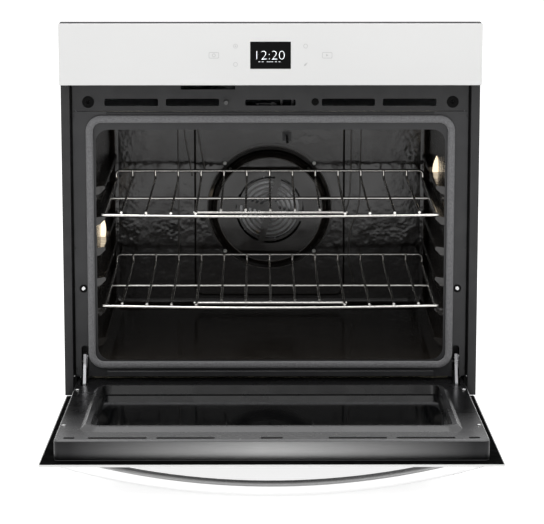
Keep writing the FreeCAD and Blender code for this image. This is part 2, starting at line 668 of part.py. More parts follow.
def cooling_impeller():
    cx, cy = BLOWER_AT
    z0 = BLOWER_Z0 + 8
    hub = turned([(cx + 3.1, cy, z0), (cx + 10, cy, z0), (cx + 10, cy, z0 + 14),
                  (cx + 3.1, cy, z0 + 14)], (cx, cy, 0), (0, 0, 1))
    disc = turned([(cx + 3.1, cy, z0), (cx + 58, cy, z0), (cx + 58, cy, z0 + 1.5),
                   (cx + 3.1, cy, z0 + 1.5)], (cx, cy, 0), (0, 0, 1))
    ring = turned([(cx + 50, cy, z0 + 26), (cx + 58, cy, z0 + 26), (cx + 58, cy, z0 + 28),
                   (cx + 50, cy, z0 + 28)], (cx, cy, 0), (0, 0, 1))
    blades = []
    count = 24
    for i in range(count):
        blade = box(cx + 50.5, cx + 57.5, cy - 0.7, cy + 0.7, z0 + 1, z0 + 27)
        blade.rotate(V(cx + 54, cy, 0), V(0, 0, 1), 28)
        blade.rotate(V(cx, cy, 0), V(0, 0, 1), 360 * i / count)
        blades.append(blade)
    return [fuse([hub, disc, ring] + blades)]


def control_board():
    z = DECK_Z + SHEET
    posts = [rod((x, y, z + 0.05), (0, 0, 1), 4, 14.8) for x in (-300, -180) for y in (60, 200)]
    board = box(-312, -168, 48, 212, z + 15, z + 16.6)
    parts = [box(-300, -262, 80, 118, z + 16.6, z + 44), box(-250, -225, 80, 100, z + 16.6, z + 36),
             box(-250, -225, 110, 130, z + 16.6, z + 36), box(-250, -225, 140, 160, z + 16.6, z + 36),
             box(-215, -180, 90, 180, z + 16.6, z + 24)]
    caps = [rod((-290 + 18 * i, 165, z + 16.6), (0, 0, 1), 7, 22) for i in range(3)]
    return posts + [fuse([board] + parts + caps)]


def terminal_block():
    x, z = CONDUIT_AT
    y = BACK - 52
    base = box(x - 34, x + 34, y, y + 24, DECK_Z + SHEET + 0.1, DECK_Z + 22)
    fins = [box(x - 34 + 22 * i, x - 32 + 22 * i, y, y + 24, DECK_Z + 22, DECK_Z + 30)
            for i in range(4)]
    studs = [rod((x - 22 + 22 * i, y + 12, DECK_Z + 22), (0, 0, 1), 3.2, 7) for i in range(3)]
    return [fuse([base] + fins + studs)]


def conduit_gland():
    """Collar in the rear panel that the supply conduit clamps into."""
    x, z = CONDUIT_AT
    y = BACK
    ring = turned([(x + CONDUIT_R, y - 7, z), (x + 17.5, y - 7, z), (x + 17.5, y - 1.5, z),
                   (x + 13.4, y - 1.5, z), (x + 13.4, y + 0.3, z), (x + 18.5, y + 0.3, z),
                   (x + 18.5, y + 4.0, z), (x + 15.0, y + 11.0, z), (x + CONDUIT_R, y + 11.0, z)],
                  (x, y, z), (0, 1, 0))
    return [ring]


def latch_bracket():
    """Plate and motor of the door latch, on the deck behind the centre slot."""
    z = DECK_Z + SHEET
    plate = box(-60, 60, FRONT + 8, FRONT + 58, z + 0.05, z + 1.25)
    pivot = rod((LATCH_X, LATCH_Y, z + 1.2), (0, 0, 1), LATCH_PIN_R, 5.6)
    motor = rod((30, FRONT + 40, z + 12.0), (0, 0, 1), 15, 20)
    legs = [box(30 - 2 + dx, 30 + 2 + dx, FRONT + 24, FRONT + 28, z + 1.2, z + 14) for dx in (-10, 10)]
    return [fuse([plate, pivot, motor] + legs)]


def latch_hook():
    """Flat hook on the pivot; at rest it is folded sideways behind the vent strip."""
    z0, z1 = LATCH_Z, LATCH_Z + LATCH_THICK
    x, y = LATCH_X, LATCH_Y
    outline = [(x - 6, y + 7), (x - 6, y - LATCH_LENGTH), (x - 2, y - LATCH_LENGTH - 5),
               (x + 9, y - LATCH_LENGTH + 1), (x + 9, y - LATCH_LENGTH + 5),
               (x + 3, y - LATCH_LENGTH + 6), (x + 4, y - 12), (x + 7, y + 7)]
    wire = Part.makePolygon([V(a, b, z0) for a, b in outline + [outline[0]]])
    hook = Part.Face(wire).extrude(V(0, 0, z1 - z0))
    hook = hook.cut(rod((x, y, z0 - 1), (0, 0, 1), LATCH_PIN_R + 0.05, 8))
    hook.rotate(V(x, y, 0), V(0, 0, 1), -LATCH_SWING)
    return [hook]


def door_switch():
    """Body and bezel of the lamp switch that the door presses."""
    x = SWITCH_X
    z = STRIP_LINE_Z
    body = box(x - 9, x + 9, FRONT + 3.2, FRONT + 13.5, z - 7.0, z + 12)
    bezel = turned([(x + 4.3, FRONT - 1.4, z), (x + 7.8, FRONT - 1.4, z), (x + 7.8, FRONT - 0.7, z),
                    (x + 7.2, FRONT - 0.7, z), (x + 7.2, FRONT + 3.2, z), (x + 4.3, FRONT + 3.2, z)],
                   (x, FRONT, z), (0, 1, 0))
    return [fuse([body.cut(rod((x, FRONT, z), (0, 1, 0), 4.3, 12)), bezel])]


def switch_plunger():
    x = SWITCH_X
    z = STRIP_LINE_Z
    body = rod((x, FRONT - PLUNGER_PROUD, z), (0, 1, 0), 4.0, PLUNGER_PROUD + 6.6)
    tip = [e for e in body.Edges if e.BoundBox.YMax < FRONT - PLUNGER_PROUD + 0.1]
    return [body.makeFillet(1.5, tip)]


# ---- heating, air and light in the cavity -------------------------------------------


def fan_cover():
    """Dished round cover over the convection fan, with rings of curved slots."""
    y_wall = CAVITY_BACK - PLATEAU - 0.1
    y_face = CAVITY_BACK - FAN_COVER_DEPTH
    t = 1.2
    profile = [(0, y_face), (106, y_face), (112, y_face + 3), (118, y_wall - 3), (124, y_wall - t),
               (131, y_wall - t), (131, y_wall), (122, y_wall), (116, y_wall - 2),
               (110.5, y_face + 4.5), (105.5, y_face + t), (0, y_face + t)]
    wire = Part.makePolygon([V(r, y, FAN_Z) for r, y in profile + [profile[0]]])
    cover = Part.Face(wire).revolve(V(0, 0, FAN_Z), V(0, 1, 0), 360)
    cuts = []
    for ring in range(GRILLE_RINGS):
        radius = GRILLE_INNER + ring * GRILLE_PITCH
        gap = math.degrees(GRILLE_SPOKE / radius)
        low, high = radius - GRILLE_SLOT / 2, radius + GRILLE_SLOT / 2
        section = Part.Face(Part.makePolygon([
            V(low, y_face - 4, FAN_Z), V(high, y_face - 4, FAN_Z), V(high, y_face + 4, FAN_Z),
            V(low, y_face + 4, FAN_Z), V(low, y_face - 4, FAN_Z)]))
        for quarter in range(4):
            ring_cut = section.copy()
            ring_cut.rotate(V(0, 0, FAN_Z), V(0, 1, 0), 90 * quarter + GRILLE_TILT + gap / 2)
            cuts.append(ring_cut.revolve(V(0, 0, FAN_Z), V(0, 1, 0), 90 - gap))
    cover = cover.cut(cuts)
    for angle in COVER_SCREW_ANGLES:
        cover = cover.cut(rod(ring_point(COVER_SCREW_R, angle, y_wall - 8), (0, 1, 0), 2.2, 12))
    return [cover]


def fan_cover_screws():
    y = CAVITY_BACK - PLATEAU - 0.1 - 1.3
    return [screw(ring_point(COVER_SCREW_R, a, y), (0, -1, 0), 3.8, 2.2, 1.9, 1.2)
            for a in COVER_SCREW_ANGLES]


def convection_fan():
    """Six-blade fan on the motor shaft, inside the cover."""
    y = CAVITY_BACK - FAN_DEPTH
    hub = rod((0, y, FAN_Z), (0, 1, 0), 13, 12)
    disc = rod((0, y + 10.5, FAN_Z), (0, 1, 0), 60, 1.5)
    blades = []
    for i in range(FAN_BLADES):
        blade = box(12, 66, y, y + 11.5, FAN_Z - 0.8, FAN_Z + 0.8)
        blade.rotate(V(0, 0, FAN_Z), V(0, 1, 0), 360 / FAN_BLADES * i + 20)
        blades.append(blade)
    nut = rod((0, y - 5, FAN_Z), (0, 1, 0), 6.5, 5.2)
    shaft = rod((0, y + 11, FAN_Z), (0, 1, 0), 4.0, 60)
    return [fuse([hub, disc, nut, shaft] + blades)]


def convection_motor():
    """Shaded-pole motor on the outside of the cavity's back wall."""
    y0 = CAVITY_BACK + SHEET + 1.0
    plate = rod((0, y0, FAN_Z), (0, 1, 0), 58, 1.5)
    posts = [rod((a * 34, y0 + 1.5, FAN_Z + b * 34), (0, 1, 0), 3.5, 24)
             for a in (-1, 1) for b in (-1, 1)]
    stack = box(-42, 42, y0 + 25.5, y0 + 45.5, FAN_Z - 42, FAN_Z + 42)
    coil = box(-28, 28, y0 + 22, y0 + 49, FAN_Z - 58, FAN_Z - 42)
    bearing = rod((0, y0 + 45.5, FAN_Z), (0, 1, 0), 12, 8)
    whole = fuse([plate, stack, coil, bearing] + posts)
    bore = rod((0, y0 - 2, FAN_Z), (0, 1, 0), 4.05, 50)
    rotor = rod((0, y0 + 24, FAN_Z), (0, 1, 0), 18.5, 23)
    return [whole.cut(bore).cut(rotor)]


def convection_rotor():
    """Armature pressed on the fan shaft, running inside the motor's stack."""
    y0 = CAVITY_BACK + SHEET + 1.0
    body = rod((0, y0 + 25.5, FAN_Z), (0, 1, 0), 18.0, 20)
    return [body.cut(rod((0, y0, FAN_Z), (0, 1, 0), 4.02, 60))]


def convection_element():
    """Ring heater round the fan, with its two legs through the back wall."""
    y = CAVITY_BACK - RING_HEATER_DEPTH
    gap = 3.0
    r = RING_HEATER_R
    arc_start = ring_point(r, 90 + gap * 4, y)
    arc_mid = ring_point(r, 270, y)
    arc_end = ring_point(r, 90 - gap * 4, y)
    arc = Part.Arc(V(*arc_start), V(*arc_mid), V(*arc_end)).toShape()
    tangent = V(-math.sin(math.radians(102)), 0, math.cos(math.radians(102)))
    ring = Part.Wire([Part.makeCircle(3.2, V(*arc_start), tangent)])
    heater = Part.Wire([arc]).makePipeShell([ring], True, False)
    legs = []
    for angle in (90 + gap * 4, 90 - gap * 4):
        x, _, z = ring_point(r, angle, y)
        ball = Part.makeSphere(3.2, V(x, y, z))
        up = V(*ring_point(98.0, 120 if angle > 90 else 60, y)) - V(x, y, z)
        bridge = Part.makeCylinder(3.2, up.Length, V(x, y, z), up)
        end = V(x, y, z) + up
        legs += [ball, bridge, Part.makeSphere(3.2, end),
                 Part.makeCylinder(3.2, 40, end, V(0, 1, 0))]
    return [fuse([heater] + legs)]


def serpentine(z, y_front, y_back, loops, pitch, x_leg, radius):
    """Flat zigzag heater with its two legs running out through the back wall."""
    points = [(-x_leg, CAVITY_BACK + 25, z), (-x_leg, y_back + 22, z)]
    x = -pitch * (loops - 0.5)
    points.append((x, y_back + 22, z))
    for i in range(loops * 2):
        ends = (y_back, y_front) if i % 2 == 0 else (y_front, y_back)
        if i == 0:
            points.append((x, ends[1], z))
        else:
            points += [(x, ends[0], z), (x, ends[1], z)]
        x += pitch
    points[-1] = (points[-1][0], y_back + 22, z)
    points += [(x_leg, y_back + 22, z), (x_leg, CAVITY_BACK + 25, z)]
    return bent_wire(points, 12.0, radius)


def broil_element():
    return [serpentine(534.0, FRONT + 95, CAVITY_BACK - 80, 4, 70.0, 70.0, 3.4)]


def broil_clips():
    """Stirrups that hang the broil element from the roof."""
    out = []
    for x in (-175, 175):
        for y in (FRONT + 140, CAVITY_BACK - 130):
            hang = box(x - 6, x + 6, y, y + 10, 537.6, CAVITY_ROOF - 0.3)
            out.append(hang.cut(box(x - 4.8, x + 4.8, y - 1, y + 11, 537, CAVITY_ROOF - 1.5)))
    return out


def bake_element():
    """Hidden bake heater in the space under the cavity floor."""
    return [serpentine(102.0, FRONT + 80, CAVITY_BACK - 70, 4, 66.0, 80.0, 3.4)]


def temperature_sensor():
    y = CAVITY_BACK - PLATEAU
    plate = box(26, 44, y - 1.5, y - 0.1, 453, 471)
    probe = rod((35, y - 88, 462), (0, 1, 0), 2.6, 112)
    tip = Part.makeSphere(2.6, V(35, y - 88, 462))
    return [fuse([plate, probe, tip])]


def lamp_housing():
    cans = []
    for side, depth, z in LAMPS:
        y = FRONT + depth
        x0 = CAVITY_HALF + SHEET + 0.2
        profile = [(x0, 31.5), (x0, 35.5), (x0 + 1.0, 35.5), (x0 + 1.0, 33.0), (x0 + 24, 33.0),
                   (x0 + 29.5, 25.0), (x0 + 29.5, 0), (x0 + 28.3, 0), (x0 + 28.3, 24.4),
                   (x0 + 23.4, 31.5)]
        wire = Part.makePolygon([V(side * a, y, z + r) for a, r in profile + [profile[0]]])
        cans.append(Part.Face(wire).revolve(V(0, y, z), V(1, 0, 0), 360))
    return cans


def lamp_bulb():
    bulbs = []
    for side, depth, z in LAMPS:
        y = FRONT + depth
        x = side * (CAVITY_HALF + 13)
        glass = rod((x, y, z - 8), (0, 0, 1), 6.5, 20)
        top = Part.makeSphere(6.5, V(x, y, z + 12))
        base = rod((x, y, z - 22), (0, 0, 1), 7.5, 14)
        bulbs.append(fuse([glass, top, base]))
    return bulbs


def lamp_lens():
    """Shallow domed glass that screws into the lamp housing."""
    lenses = []
    rise = 8.0
    big = (LAMP_R ** 2 + rise ** 2) / (2 * rise)
    for side, depth, z in LAMPS:
        y = FRONT + depth
        centre = V(side * (CAVITY_HALF + big - rise), y, z)
        dome = Part.makeSphere(big, centre).cut(Part.makeSphere(big - 2.2, centre))
        x0, x1 = sorted((side * (CAVITY_HALF - rise - 1), side * (CAVITY_HALF + 0.6)))
        keep = rod((x0, y, z), (1, 0, 0), LAMP_R, x1 - x0)
        skirt_x = CAVITY_HALF - 0.4 if side > 0 else -CAVITY_HALF - 8.0
        skirt = rod((skirt_x, y, z), (1, 0, 0), LAMP_R, 8.4).cut(
            rod((skirt_x - 1, y, z), (1, 0, 0), LAMP_R - 2.2, 11))
        lenses.append(fuse([dome.common(keep), skirt]))
    return lenses


# ---- racks --------------------------------------------------------------------------
def rack(level):
    """Chromed rack: bowed front rail, side rails with a raised back fence, 13 wires."""
    y_front, y_back = RACK_FRONT, RACK_FRONT + RACK_DEPTH
    side_x = RACK_HALF - RAIL_R
    inner_front = y_front + 26.0

    def bow(x):
        return y_front - RAIL_BOW * (1 - (x / RACK_HALF) ** 2)

    arc = Part.Arc(V(-RACK_HALF, y_front, level), V(0, bow(0), level),
                   V(RACK_HALF, y_front, level)).toShape()
    slope = 2 * RAIL_BOW / RACK_HALF
    start = Part.makeCircle(RAIL_R, V(-RACK_HALF, y_front, level), V(1, -slope, 0))
    rails = [Part.Wire([arc]).makePipeShell([Part.Wire([start])], True, False)]
    top = level + FENCE_RISE
    gap = 2 * RAIL_R + 0.1
    rails.append(bent_wire([(-side_x, bow(side_x) + gap, level), (-side_x, y_back, level),
                            (-side_x, y_back, top), (side_x, y_back, top),
                            (side_x, y_back, level), (side_x, bow(side_x) + gap, level)],
                           8.0, RAIL_R))
    reach = side_x - RAIL_R - 0.1
    rails.append(rod((-reach, y_front + 193, level), (1, 0, 0), RAIL_R, 2 * reach))
    rails.append(rod((-142, inner_front, level), (1, 0, 0), RAIL_R, 284))
    wire_z = level + RAIL_R + WIRE_R + 0.05
    y_up = y_back - RAIL_R - WIRE_R - 0.05
    for k in range(-6, 7):
        x = 45.5 * k
        y0 = inner_front - RAIL_R if abs(k) < 3 else bow(x) - RAIL_R + 0.6
        rails.append(bent_wire([(x, y0, wire_z), (x, y_up, wire_z), (x, y_up, top + 1.5)],
                               6.0, WIRE_R))
    return rails


# ---- door, drawn closed -------------------------------------------------------------
def door_glass():
    sheet = rounded_slab(HALF_FACE, DOOR_LOW, DOOR_HIGH, 2.0, FACE, FACE + GLASS)
    rim = [e for e in sheet.Edges if e.BoundBox.YMax < FACE + 0.01]
    return opened([sheet.makeFillet(1.0, rim)])


def door_back_frame():
    """Black steel frame bonded to the back of the glass; carries handle and hinges."""
    y0 = FACE + GLASS + 0.05
    sheet = box(-HALF_FACE + 2, HALF_FACE - 2, y0, y0 + 1.1, DOOR_LOW + 2, DOOR_HIGH - 2)
    hole = rounded_slab(WINDOW_HALF - 15, WINDOW_LOW - 12, WINDOW_HIGH + 12, 12, y0 - 1, y0 + 3)
    return opened([sheet.cut(hole)])


def tapered(half, low, high, corner, draft, y0, y1):
    """Rounded rectangle that shrinks by draft on every side from y0 to y1."""
    wide = rounded_wire(half, low, high, corner, y0)
    narrow = rounded_wire(half - draft, low + draft, high - draft, corner - draft * 0.6, y1)
    return Part.makeLoft([wide, narrow], True, True)


def door_liner():
    """Pressed pan of the door: raised plug, window well, window hole and air slots."""
    y0, y1 = FACE + GLASS + 1.3, LINER_FACE
    t = SHEET
    top = LINER_FACE + PLUG_RISE
    outer = rounded_slab(LINER_HALF, LINER_LOW, LINER_HIGH, 10, y0, y1)
    rim = [e for e in outer.Edges if e.BoundBox.YMin > y1 - 0.01]
    outer = outer.makeFillet(3.0, rim)
    inner = rounded_slab(LINER_HALF - t, LINER_LOW + t, LINER_HIGH - t, 10 - t, y0 - 1, y1 - t)
    plug = tapered(PLUG_HALF, PLUG_LOW, PLUG_HIGH, PLUG_CORNER, PLUG_DRAFT, y1 - t / 2, top)
    edge = [e for e in plug.Edges if e.BoundBox.YMin > top - 0.01]
    plug = plug.makeFillet(2.4, edge)
    hollow = tapered(PLUG_HALF - t, PLUG_LOW + t, PLUG_HIGH - t, PLUG_CORNER - t, PLUG_DRAFT,
                     y1 - t - 0.2, top - t)
    half, low, high = WINDOW_HALF + 6, WINDOW_LOW - 14, WINDOW_HIGH + 7
    well_low = LINER_FACE - RECESS
    well = Part.makeLoft([rounded_wire(half, low, high, 16, top + 1),
                          rounded_wire(WINDOW_HALF + 3, WINDOW_LOW - 3, WINDOW_HIGH + 3, 12,
                                       well_low)], True, True)
    cup = Part.makeLoft([rounded_wire(half + t, low - t, high + t, 16 + t, top - t / 2),
                         rounded_wire(WINDOW_HALF + 3 + t, WINDOW_LOW - 3 - t, WINDOW_HIGH + 3 + t,
                                      12 + t, well_low - t)], True, True)
    hole = rounded_slab(WINDOW_HALF, WINDOW_LOW, WINDOW_HIGH, 8, well_low - 5, well_low + 1)
    pan = outer.fuse(plug).cut(inner).cut(hollow)
    pan = fuse([pan, cup]).cut(well).cut(hole)
    slots = [(-340, -322), (-300, -204), (-188, -93), (-18, 18), (93, 188), (204, 300), (322, 340)]
    for x0, x1 in slots:
        cut = rounded_slab((x1 - x0) / 2, LINER_HIGH - 22, LINER_HIGH - 9, 3, y1 - 4, y1 + 2)
        cut.translate(V((x0 + x1) / 2, 0, 0))
        pan = pan.cut(cut)
    for side in (-1, 1):
        x = side * HINGE_X
        pan = pan.cut(box(x - 7, x + 7, y0 + 9, y1 + 2, LINER_LOW - 2, 122))
    for x, z in DOOR_SCREWS:
        pan = pan.cut(pan_hole((x, y1, z), (0, 1, 0)))
    return opened([pan])


def door_screws():
    return opened([screw((x, LINER_FACE + 0.05, z), (0, 1, 0), 3.6, 2.0, 1.9, 8.0)
                   for x, z in DOOR_SCREWS])


def door_inner_glass():
    y = LINER_FACE - RECESS - SHEET - 0.1
    return opened([rounded_slab(WINDOW_HALF + 9, WINDOW_LOW - 9, WINDOW_HIGH + 9, 10,
                                y - GLASS, y)])


def door_middle_glass():
    y = LINER_FACE - RECESS - SHEET - 0.1 - GLASS - 6.0
    return opened([rounded_slab(WINDOW_HALF + 4, WINDOW_LOW - 4, WINDOW_HIGH + 4, 8,
                                y - 3.0, y)])


def glass_spacer():
    """Frame that clamps the inner glass and keeps the middle glass off it."""
    y1 = LINER_FACE - RECESS - SHEET - 0.1 - GLASS - 0.1
    y0 = FACE + GLASS + 1.3
    outer = rounded_slab(WINDOW_HALF + 9, WINDOW_LOW - 9, WINDOW_HIGH + 9, 10, y0, y1)
    hole = rounded_slab(WINDOW_HALF - 5, WINDOW_LOW + 5, WINDOW_HIGH - 5, 8, y0 - 1, y1 + 1)
    seat = rounded_slab(WINDOW_HALF + 4.3, WINDOW_LOW - 4.3, WINDOW_HIGH + 4.3, 8.3,
                        y1 - 9.2, y1 - 5.7)
    return opened([outer.cut(hole).cut(seat)])


def door_insulation():
    """Fibre pads above and below the window inside the door."""
    y0, y1 = FACE + GLASS + 1.5, LINER_FACE - RECESS - SHEET - 1.0
    pads = [box(-300, 300, y0, y1, WINDOW_HIGH + 12, LINER_HIGH - 40),
            box(-300, 300, y0, y1, LINER_LOW + 12, WINDOW_LOW - 12)]
    return opened(pads)


def bar_offset(x, radius, centre_reach):
    return centre_reach - (radius - math.sqrt(radius ** 2 - x ** 2))


def handle_bar():
    """Bowed bar whose ends run down on to the door glass."""
    outer_r = HANDLE_RADIUS
    inner_r = HANDLE_RADIUS - HANDLE_BAR
    seat = FACE - 0.2

    def point(x, radius, reach):
        return V(x, FACE - bar_offset(x, radius, reach), 0)

    outer_end = point(HANDLE_HALF, outer_r, HANDLE_REACH)
    inner_reach = HANDLE_REACH - HANDLE_BAR
    land = math.sqrt(inner_r ** 2 - (inner_r - inner_reach) ** 2)
    edges = [Part.Arc(point(-HANDLE_HALF, outer_r, HANDLE_REACH), point(0, outer_r, HANDLE_REACH),
                      outer_end).toShape(),
             Part.LineSegment(outer_end, V(HANDLE_HALF, seat, 0)).toShape(),
             Part.LineSegment(V(HANDLE_HALF, seat, 0), V(land, seat, 0)).toShape(),
             Part.Arc(V(land, seat, 0), point(0, inner_r, inner_reach) + V(0, -0.2, 0),
                      V(-land, seat, 0)).toShape(),
             Part.LineSegment(V(-land, seat, 0), V(-HANDLE_HALF, seat, 0)).toShape(),
             Part.LineSegment(V(-HANDLE_HALF, seat, 0),
                              point(-HANDLE_HALF, outer_r, HANDLE_REACH)).toShape()]
    bar = Part.Face(Part.Wire(edges)).extrude(V(0, 0, HANDLE_HEIGHT))
    bar.translate(V(0, 0, HANDLE_Z - HANDLE_HEIGHT / 2))
    long_edges = [e for e in bar.Edges if e.Length > 560]
    return opened([bar.makeFillet(7.0, long_edges)])


def handle_studs():
    """Threaded studs that pull the handle's feet against the door."""
    studs = []
    for side in (-1, 1):
        for x in (312.0, 342.0):
            studs.append(rod((side * x, FACE + GLASS + 1.3, HANDLE_Z), (0, 1, 0), 5.5, 3.0))
    return opened(studs)


def hinge_channel(side):
    """Steel channel inside the door that turns on the hinge pin."""
    x = side * HINGE_X
    y0, y1 = FACE + GLASS + 2.0, LINER_FACE - SHEET - 0.6
    outer = box(x - 10, x + 10, y0, y1, LINER_LOW + 9, 300)
    inner = box(x - 8, x + 8, y0 + 2, y1 + 1, LINER_LOW + 8, 301)
    channel = outer.cut(inner)
    channel = channel.cut(rod((x - 12, PIVOT_Y, PIVOT_Z), (1, 0, 0), 4.05, 24))
    return opened([channel])


def hinge_pin(side):
    """Shouldered pin through the channel and the eye of the hinge arm."""
    x = side * HINGE_X
    return opened([rod((x - 10.4, PIVOT_Y, PIVOT_Z), (1, 0, 0), 4.0, 20.8)])


def hinge_spring(side):
    """Counterbalance spring in the door channel, above the hinge pin."""
    x = side * HINGE_X
    y = (FACE + GLASS + 4 + LINER_FACE - SHEET - 0.6) / 2
    helix = Part.makeHelix(5.0, 120.0, 5.6)
    ring = Part.Wire([Part.makeCircle(1.2, V(5.6, 0, 0), V(0, 1, 0.142))])
    coil = Part.Wire(helix.Edges).makePipeShell([ring], True, True)
    coil.translate(V(x, y, 150.0))
    rod_in = rod((x, y, 132.0), (0, 0, 1), 2.5, 150)
    return opened([coil, rod_in])


def hinge_arm(side):
    """Claw arm, fixed in the chassis: eye on the door's pin, hook in the receiver."""
    x = side * HINGE_X
    outline = [(-28, 61), (-20, 55.5), (-12, 60), (4, 90), (22, 90), (22, 96), (30, 96),
               (30, 112), (16, 112), (16, 104), (9, 104), (9, 126), (-4, 126), (-12, 108),
               (-29, 76), (-31, 68)]
    wire = Part.makePolygon([V(x - 2.5, FRONT + y, z) for y, z in outline + [outline[0]]])
    arm = Part.Face(wire).extrude(V(5, 0, 0))
    arm = arm.cut(rod((x - 5, PIVOT_Y, PIVOT_Z), (1, 0, 0), 4.06, 10))
    return [arm]


def hinge_receiver(side):
    """Bracket behind the front frame that the hinge arm hooks into."""
    x = side * HINGE_X
    y0 = FRONT + SHEET + 0.3
    cheeks = [box(x - 9.4, x - 7.9, y0, FRONT + 36, 86, 142),
              box(x + 7.2, x + 8.7, y0, FRONT + 36, 86, 142)]
    back = box(x - 9.4, x + 8.7, FRONT + 36, FRONT + 37.5, 86, 142)
    bar = rod((x - 9.0, FRONT + 12.5, 107.7), (1, 0, 0), 3.2, 17.0)
    return [fuse(cheeks + [back, bar])]


def hinge_lock(side):
    """Flip lever that keeps the claw in the receiver; swung down it frees the door."""
    x = side * HINGE_X
    py, pz = FRONT - 1.0, 121.0
    lever = box(x + 2.8, x + 4.6, FRONT - 4.5, FRONT + 3.5, 100, 125)
    return [lever.cut(rod((x, py, pz), (1, 0, 0), 1.55, 9))]


def lock_rivets():
    """Rivets on the hinge arms that the lock levers turn on."""
    rivets = []
    for side in (-1, 1):
        x = side * HINGE_X
        rivets.append(fuse([rod((x + 2.55, FRONT - 1.0, 121.0), (1, 0, 0), 1.5, 2.2),
                            rod((x + 4.75, FRONT - 1.0, 121.0), (1, 0, 0), 2.6, 1.0)]))
    return rivets


# ---- the nodes ----------------------------------------------------------------------
NODES = {
    "base_pan": base_pan,
    "side_panels": lambda: side_panel(-1) + side_panel(1),
    "rear_panel": rear_panel,
    "rear_panel_screws": rear_screws,
    "top_cover": top_cover,
    "side_rails": lambda: side_rail(-1) + side_rail(1),
    "bottom_trim": bottom_trim,
    "front_frame": front_frame,
    "lower_sill": lower_sill,
    "vent_strip": vent_strip,
    "screw_cups": lambda: strip_cups() + strip_screws() + frame_grommets(),
    "front_screws": frame_screws,
    "cavity_liner": cavity_liner,
    "door_gasket": door_gasket,
    "insulation_blanket": insulation,
    "cavity_straps": liner_straps,
    "control_glass": control_glass,
    "control_housing": control_housing,
    "display_module": display_module,
    "touch_board": lambda: touch_board() + board_standoffs(),
    "component_deck": component_deck,
    "air_duct": air_duct,
    "blower_housing": blower_housing,
    "blower_motor": blower_motor,
    "cooling_impeller": cooling_impeller,
    "control_board": control_board,
    "terminal_block": terminal_block,
    "conduit_gland": conduit_gland,
    "latch_bracket": latch_bracket,
    "latch_hook": latch_hook,
    "door_switch": door_switch,
    "switch_plunger": switch_plunger,
    "fan_cover": fan_cover,
    "fan_cover_screws": fan_cover_screws,
    "convection_fan": lambda: convection_fan() + convection_rotor(),
    "convection_motor": convection_motor,
    "convection_element": convection_element,
    "broil_element": lambda: broil_element() + broil_clips(),
    "bake_element": bake_element,
    "temperature_sensor": temperature_sensor,
    "lamp_housings": lamp_housing,
    "lamp_bulbs": lamp_bulb,
    "lamp_lenses": lamp_lens,
    "rack_upper": lambda: rack(UPPER_RACK_Z),
    "rack_lower": lambda: rack(LOWER_RACK_Z),
    "hinge_arms": lambda: hinge_arm(-1) + hinge_arm(1) + lock_rivets(),
    "hinge_receivers": lambda: hinge_receiver(-1) + hinge_receiver(1),
    "hinge_lock_left": lambda: hinge_lock(-1),
    "hinge_lock_right": lambda: hinge_lock(1),
    "door_glass": door_glass,
    "door_back_frame": door_back_frame,
    "door_liner": door_liner,
    "door_fasteners": lambda: door_screws() + handle_studs(),
    "door_window_panes": lambda: door_inner_glass() + door_middle_glass(),
    "glass_spacer": glass_spacer,
    "door_insulation": door_insulation,
    "handle_bar": handle_bar,
    "hinge_channels": lambda: hinge_channel(-1) + hinge_channel(1) + hinge_pin(-1) + hinge_pin(1),
    "hinge_springs": lambda: hinge_spring(-1) + hinge_spring(1),
}


def main():
    os.makedirs(OUT, exist_ok=True)
    for name, make in NODES.items():
        solids = make()
        shape = solids[0] if len(solids) == 1 else Part.makeCompound(solids)
        if not shape.isValid():
            print("not valid:", name)
        shape.exportStep(os.path.join(OUT, name + ".step"))


main()
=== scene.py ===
"""Looks for the built-in wall oven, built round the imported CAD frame. Metres."""
import json
import math

import bmesh
import bpy
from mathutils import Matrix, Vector, noise


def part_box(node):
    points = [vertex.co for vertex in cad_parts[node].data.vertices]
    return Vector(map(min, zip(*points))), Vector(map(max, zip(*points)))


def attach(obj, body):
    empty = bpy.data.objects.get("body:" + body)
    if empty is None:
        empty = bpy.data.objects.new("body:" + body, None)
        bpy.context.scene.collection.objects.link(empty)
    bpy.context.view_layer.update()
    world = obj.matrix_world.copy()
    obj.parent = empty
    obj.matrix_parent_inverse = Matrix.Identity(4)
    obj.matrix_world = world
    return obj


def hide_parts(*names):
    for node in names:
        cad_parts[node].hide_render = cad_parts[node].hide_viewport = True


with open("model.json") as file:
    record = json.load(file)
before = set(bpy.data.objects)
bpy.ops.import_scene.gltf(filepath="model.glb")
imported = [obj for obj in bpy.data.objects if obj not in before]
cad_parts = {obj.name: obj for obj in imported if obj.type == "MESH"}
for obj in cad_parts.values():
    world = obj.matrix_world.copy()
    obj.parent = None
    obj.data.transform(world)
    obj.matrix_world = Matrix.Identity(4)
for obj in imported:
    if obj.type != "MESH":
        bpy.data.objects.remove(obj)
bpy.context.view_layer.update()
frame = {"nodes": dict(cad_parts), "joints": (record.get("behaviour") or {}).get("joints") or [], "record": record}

MM = 0.001
NODES = frame["nodes"]
JOINTS = {joint["name"]: joint for joint in frame["joints"]}


# ---- camera, light and floor --------------------------------------------------------
CAMERA_AT = Vector((-0.017, -4.79835, 1.13613))
CAMERA_TO = Vector((0.0026, -0.342, 0.3059))
LENS_MM = 165.85
SENSOR_MM = 36.0
CAMERA_REACH = 50.0
FLOOR_SIZE = 60.0
WORLD_LOW = 0.22
WORLD_HIGH = 0.9
WORLD_HIGH_FROM = 0.8
WORLD_SEEN = 1.1
KEY_POWER = 34.0
FILL_POWER = 14.0
TOP_POWER = 60.0
FLOOR_GLOW = 0.84
FLOOR_SHADES = ((0.5, 0.5, 0.5), (0.53, 0.53, 0.53))


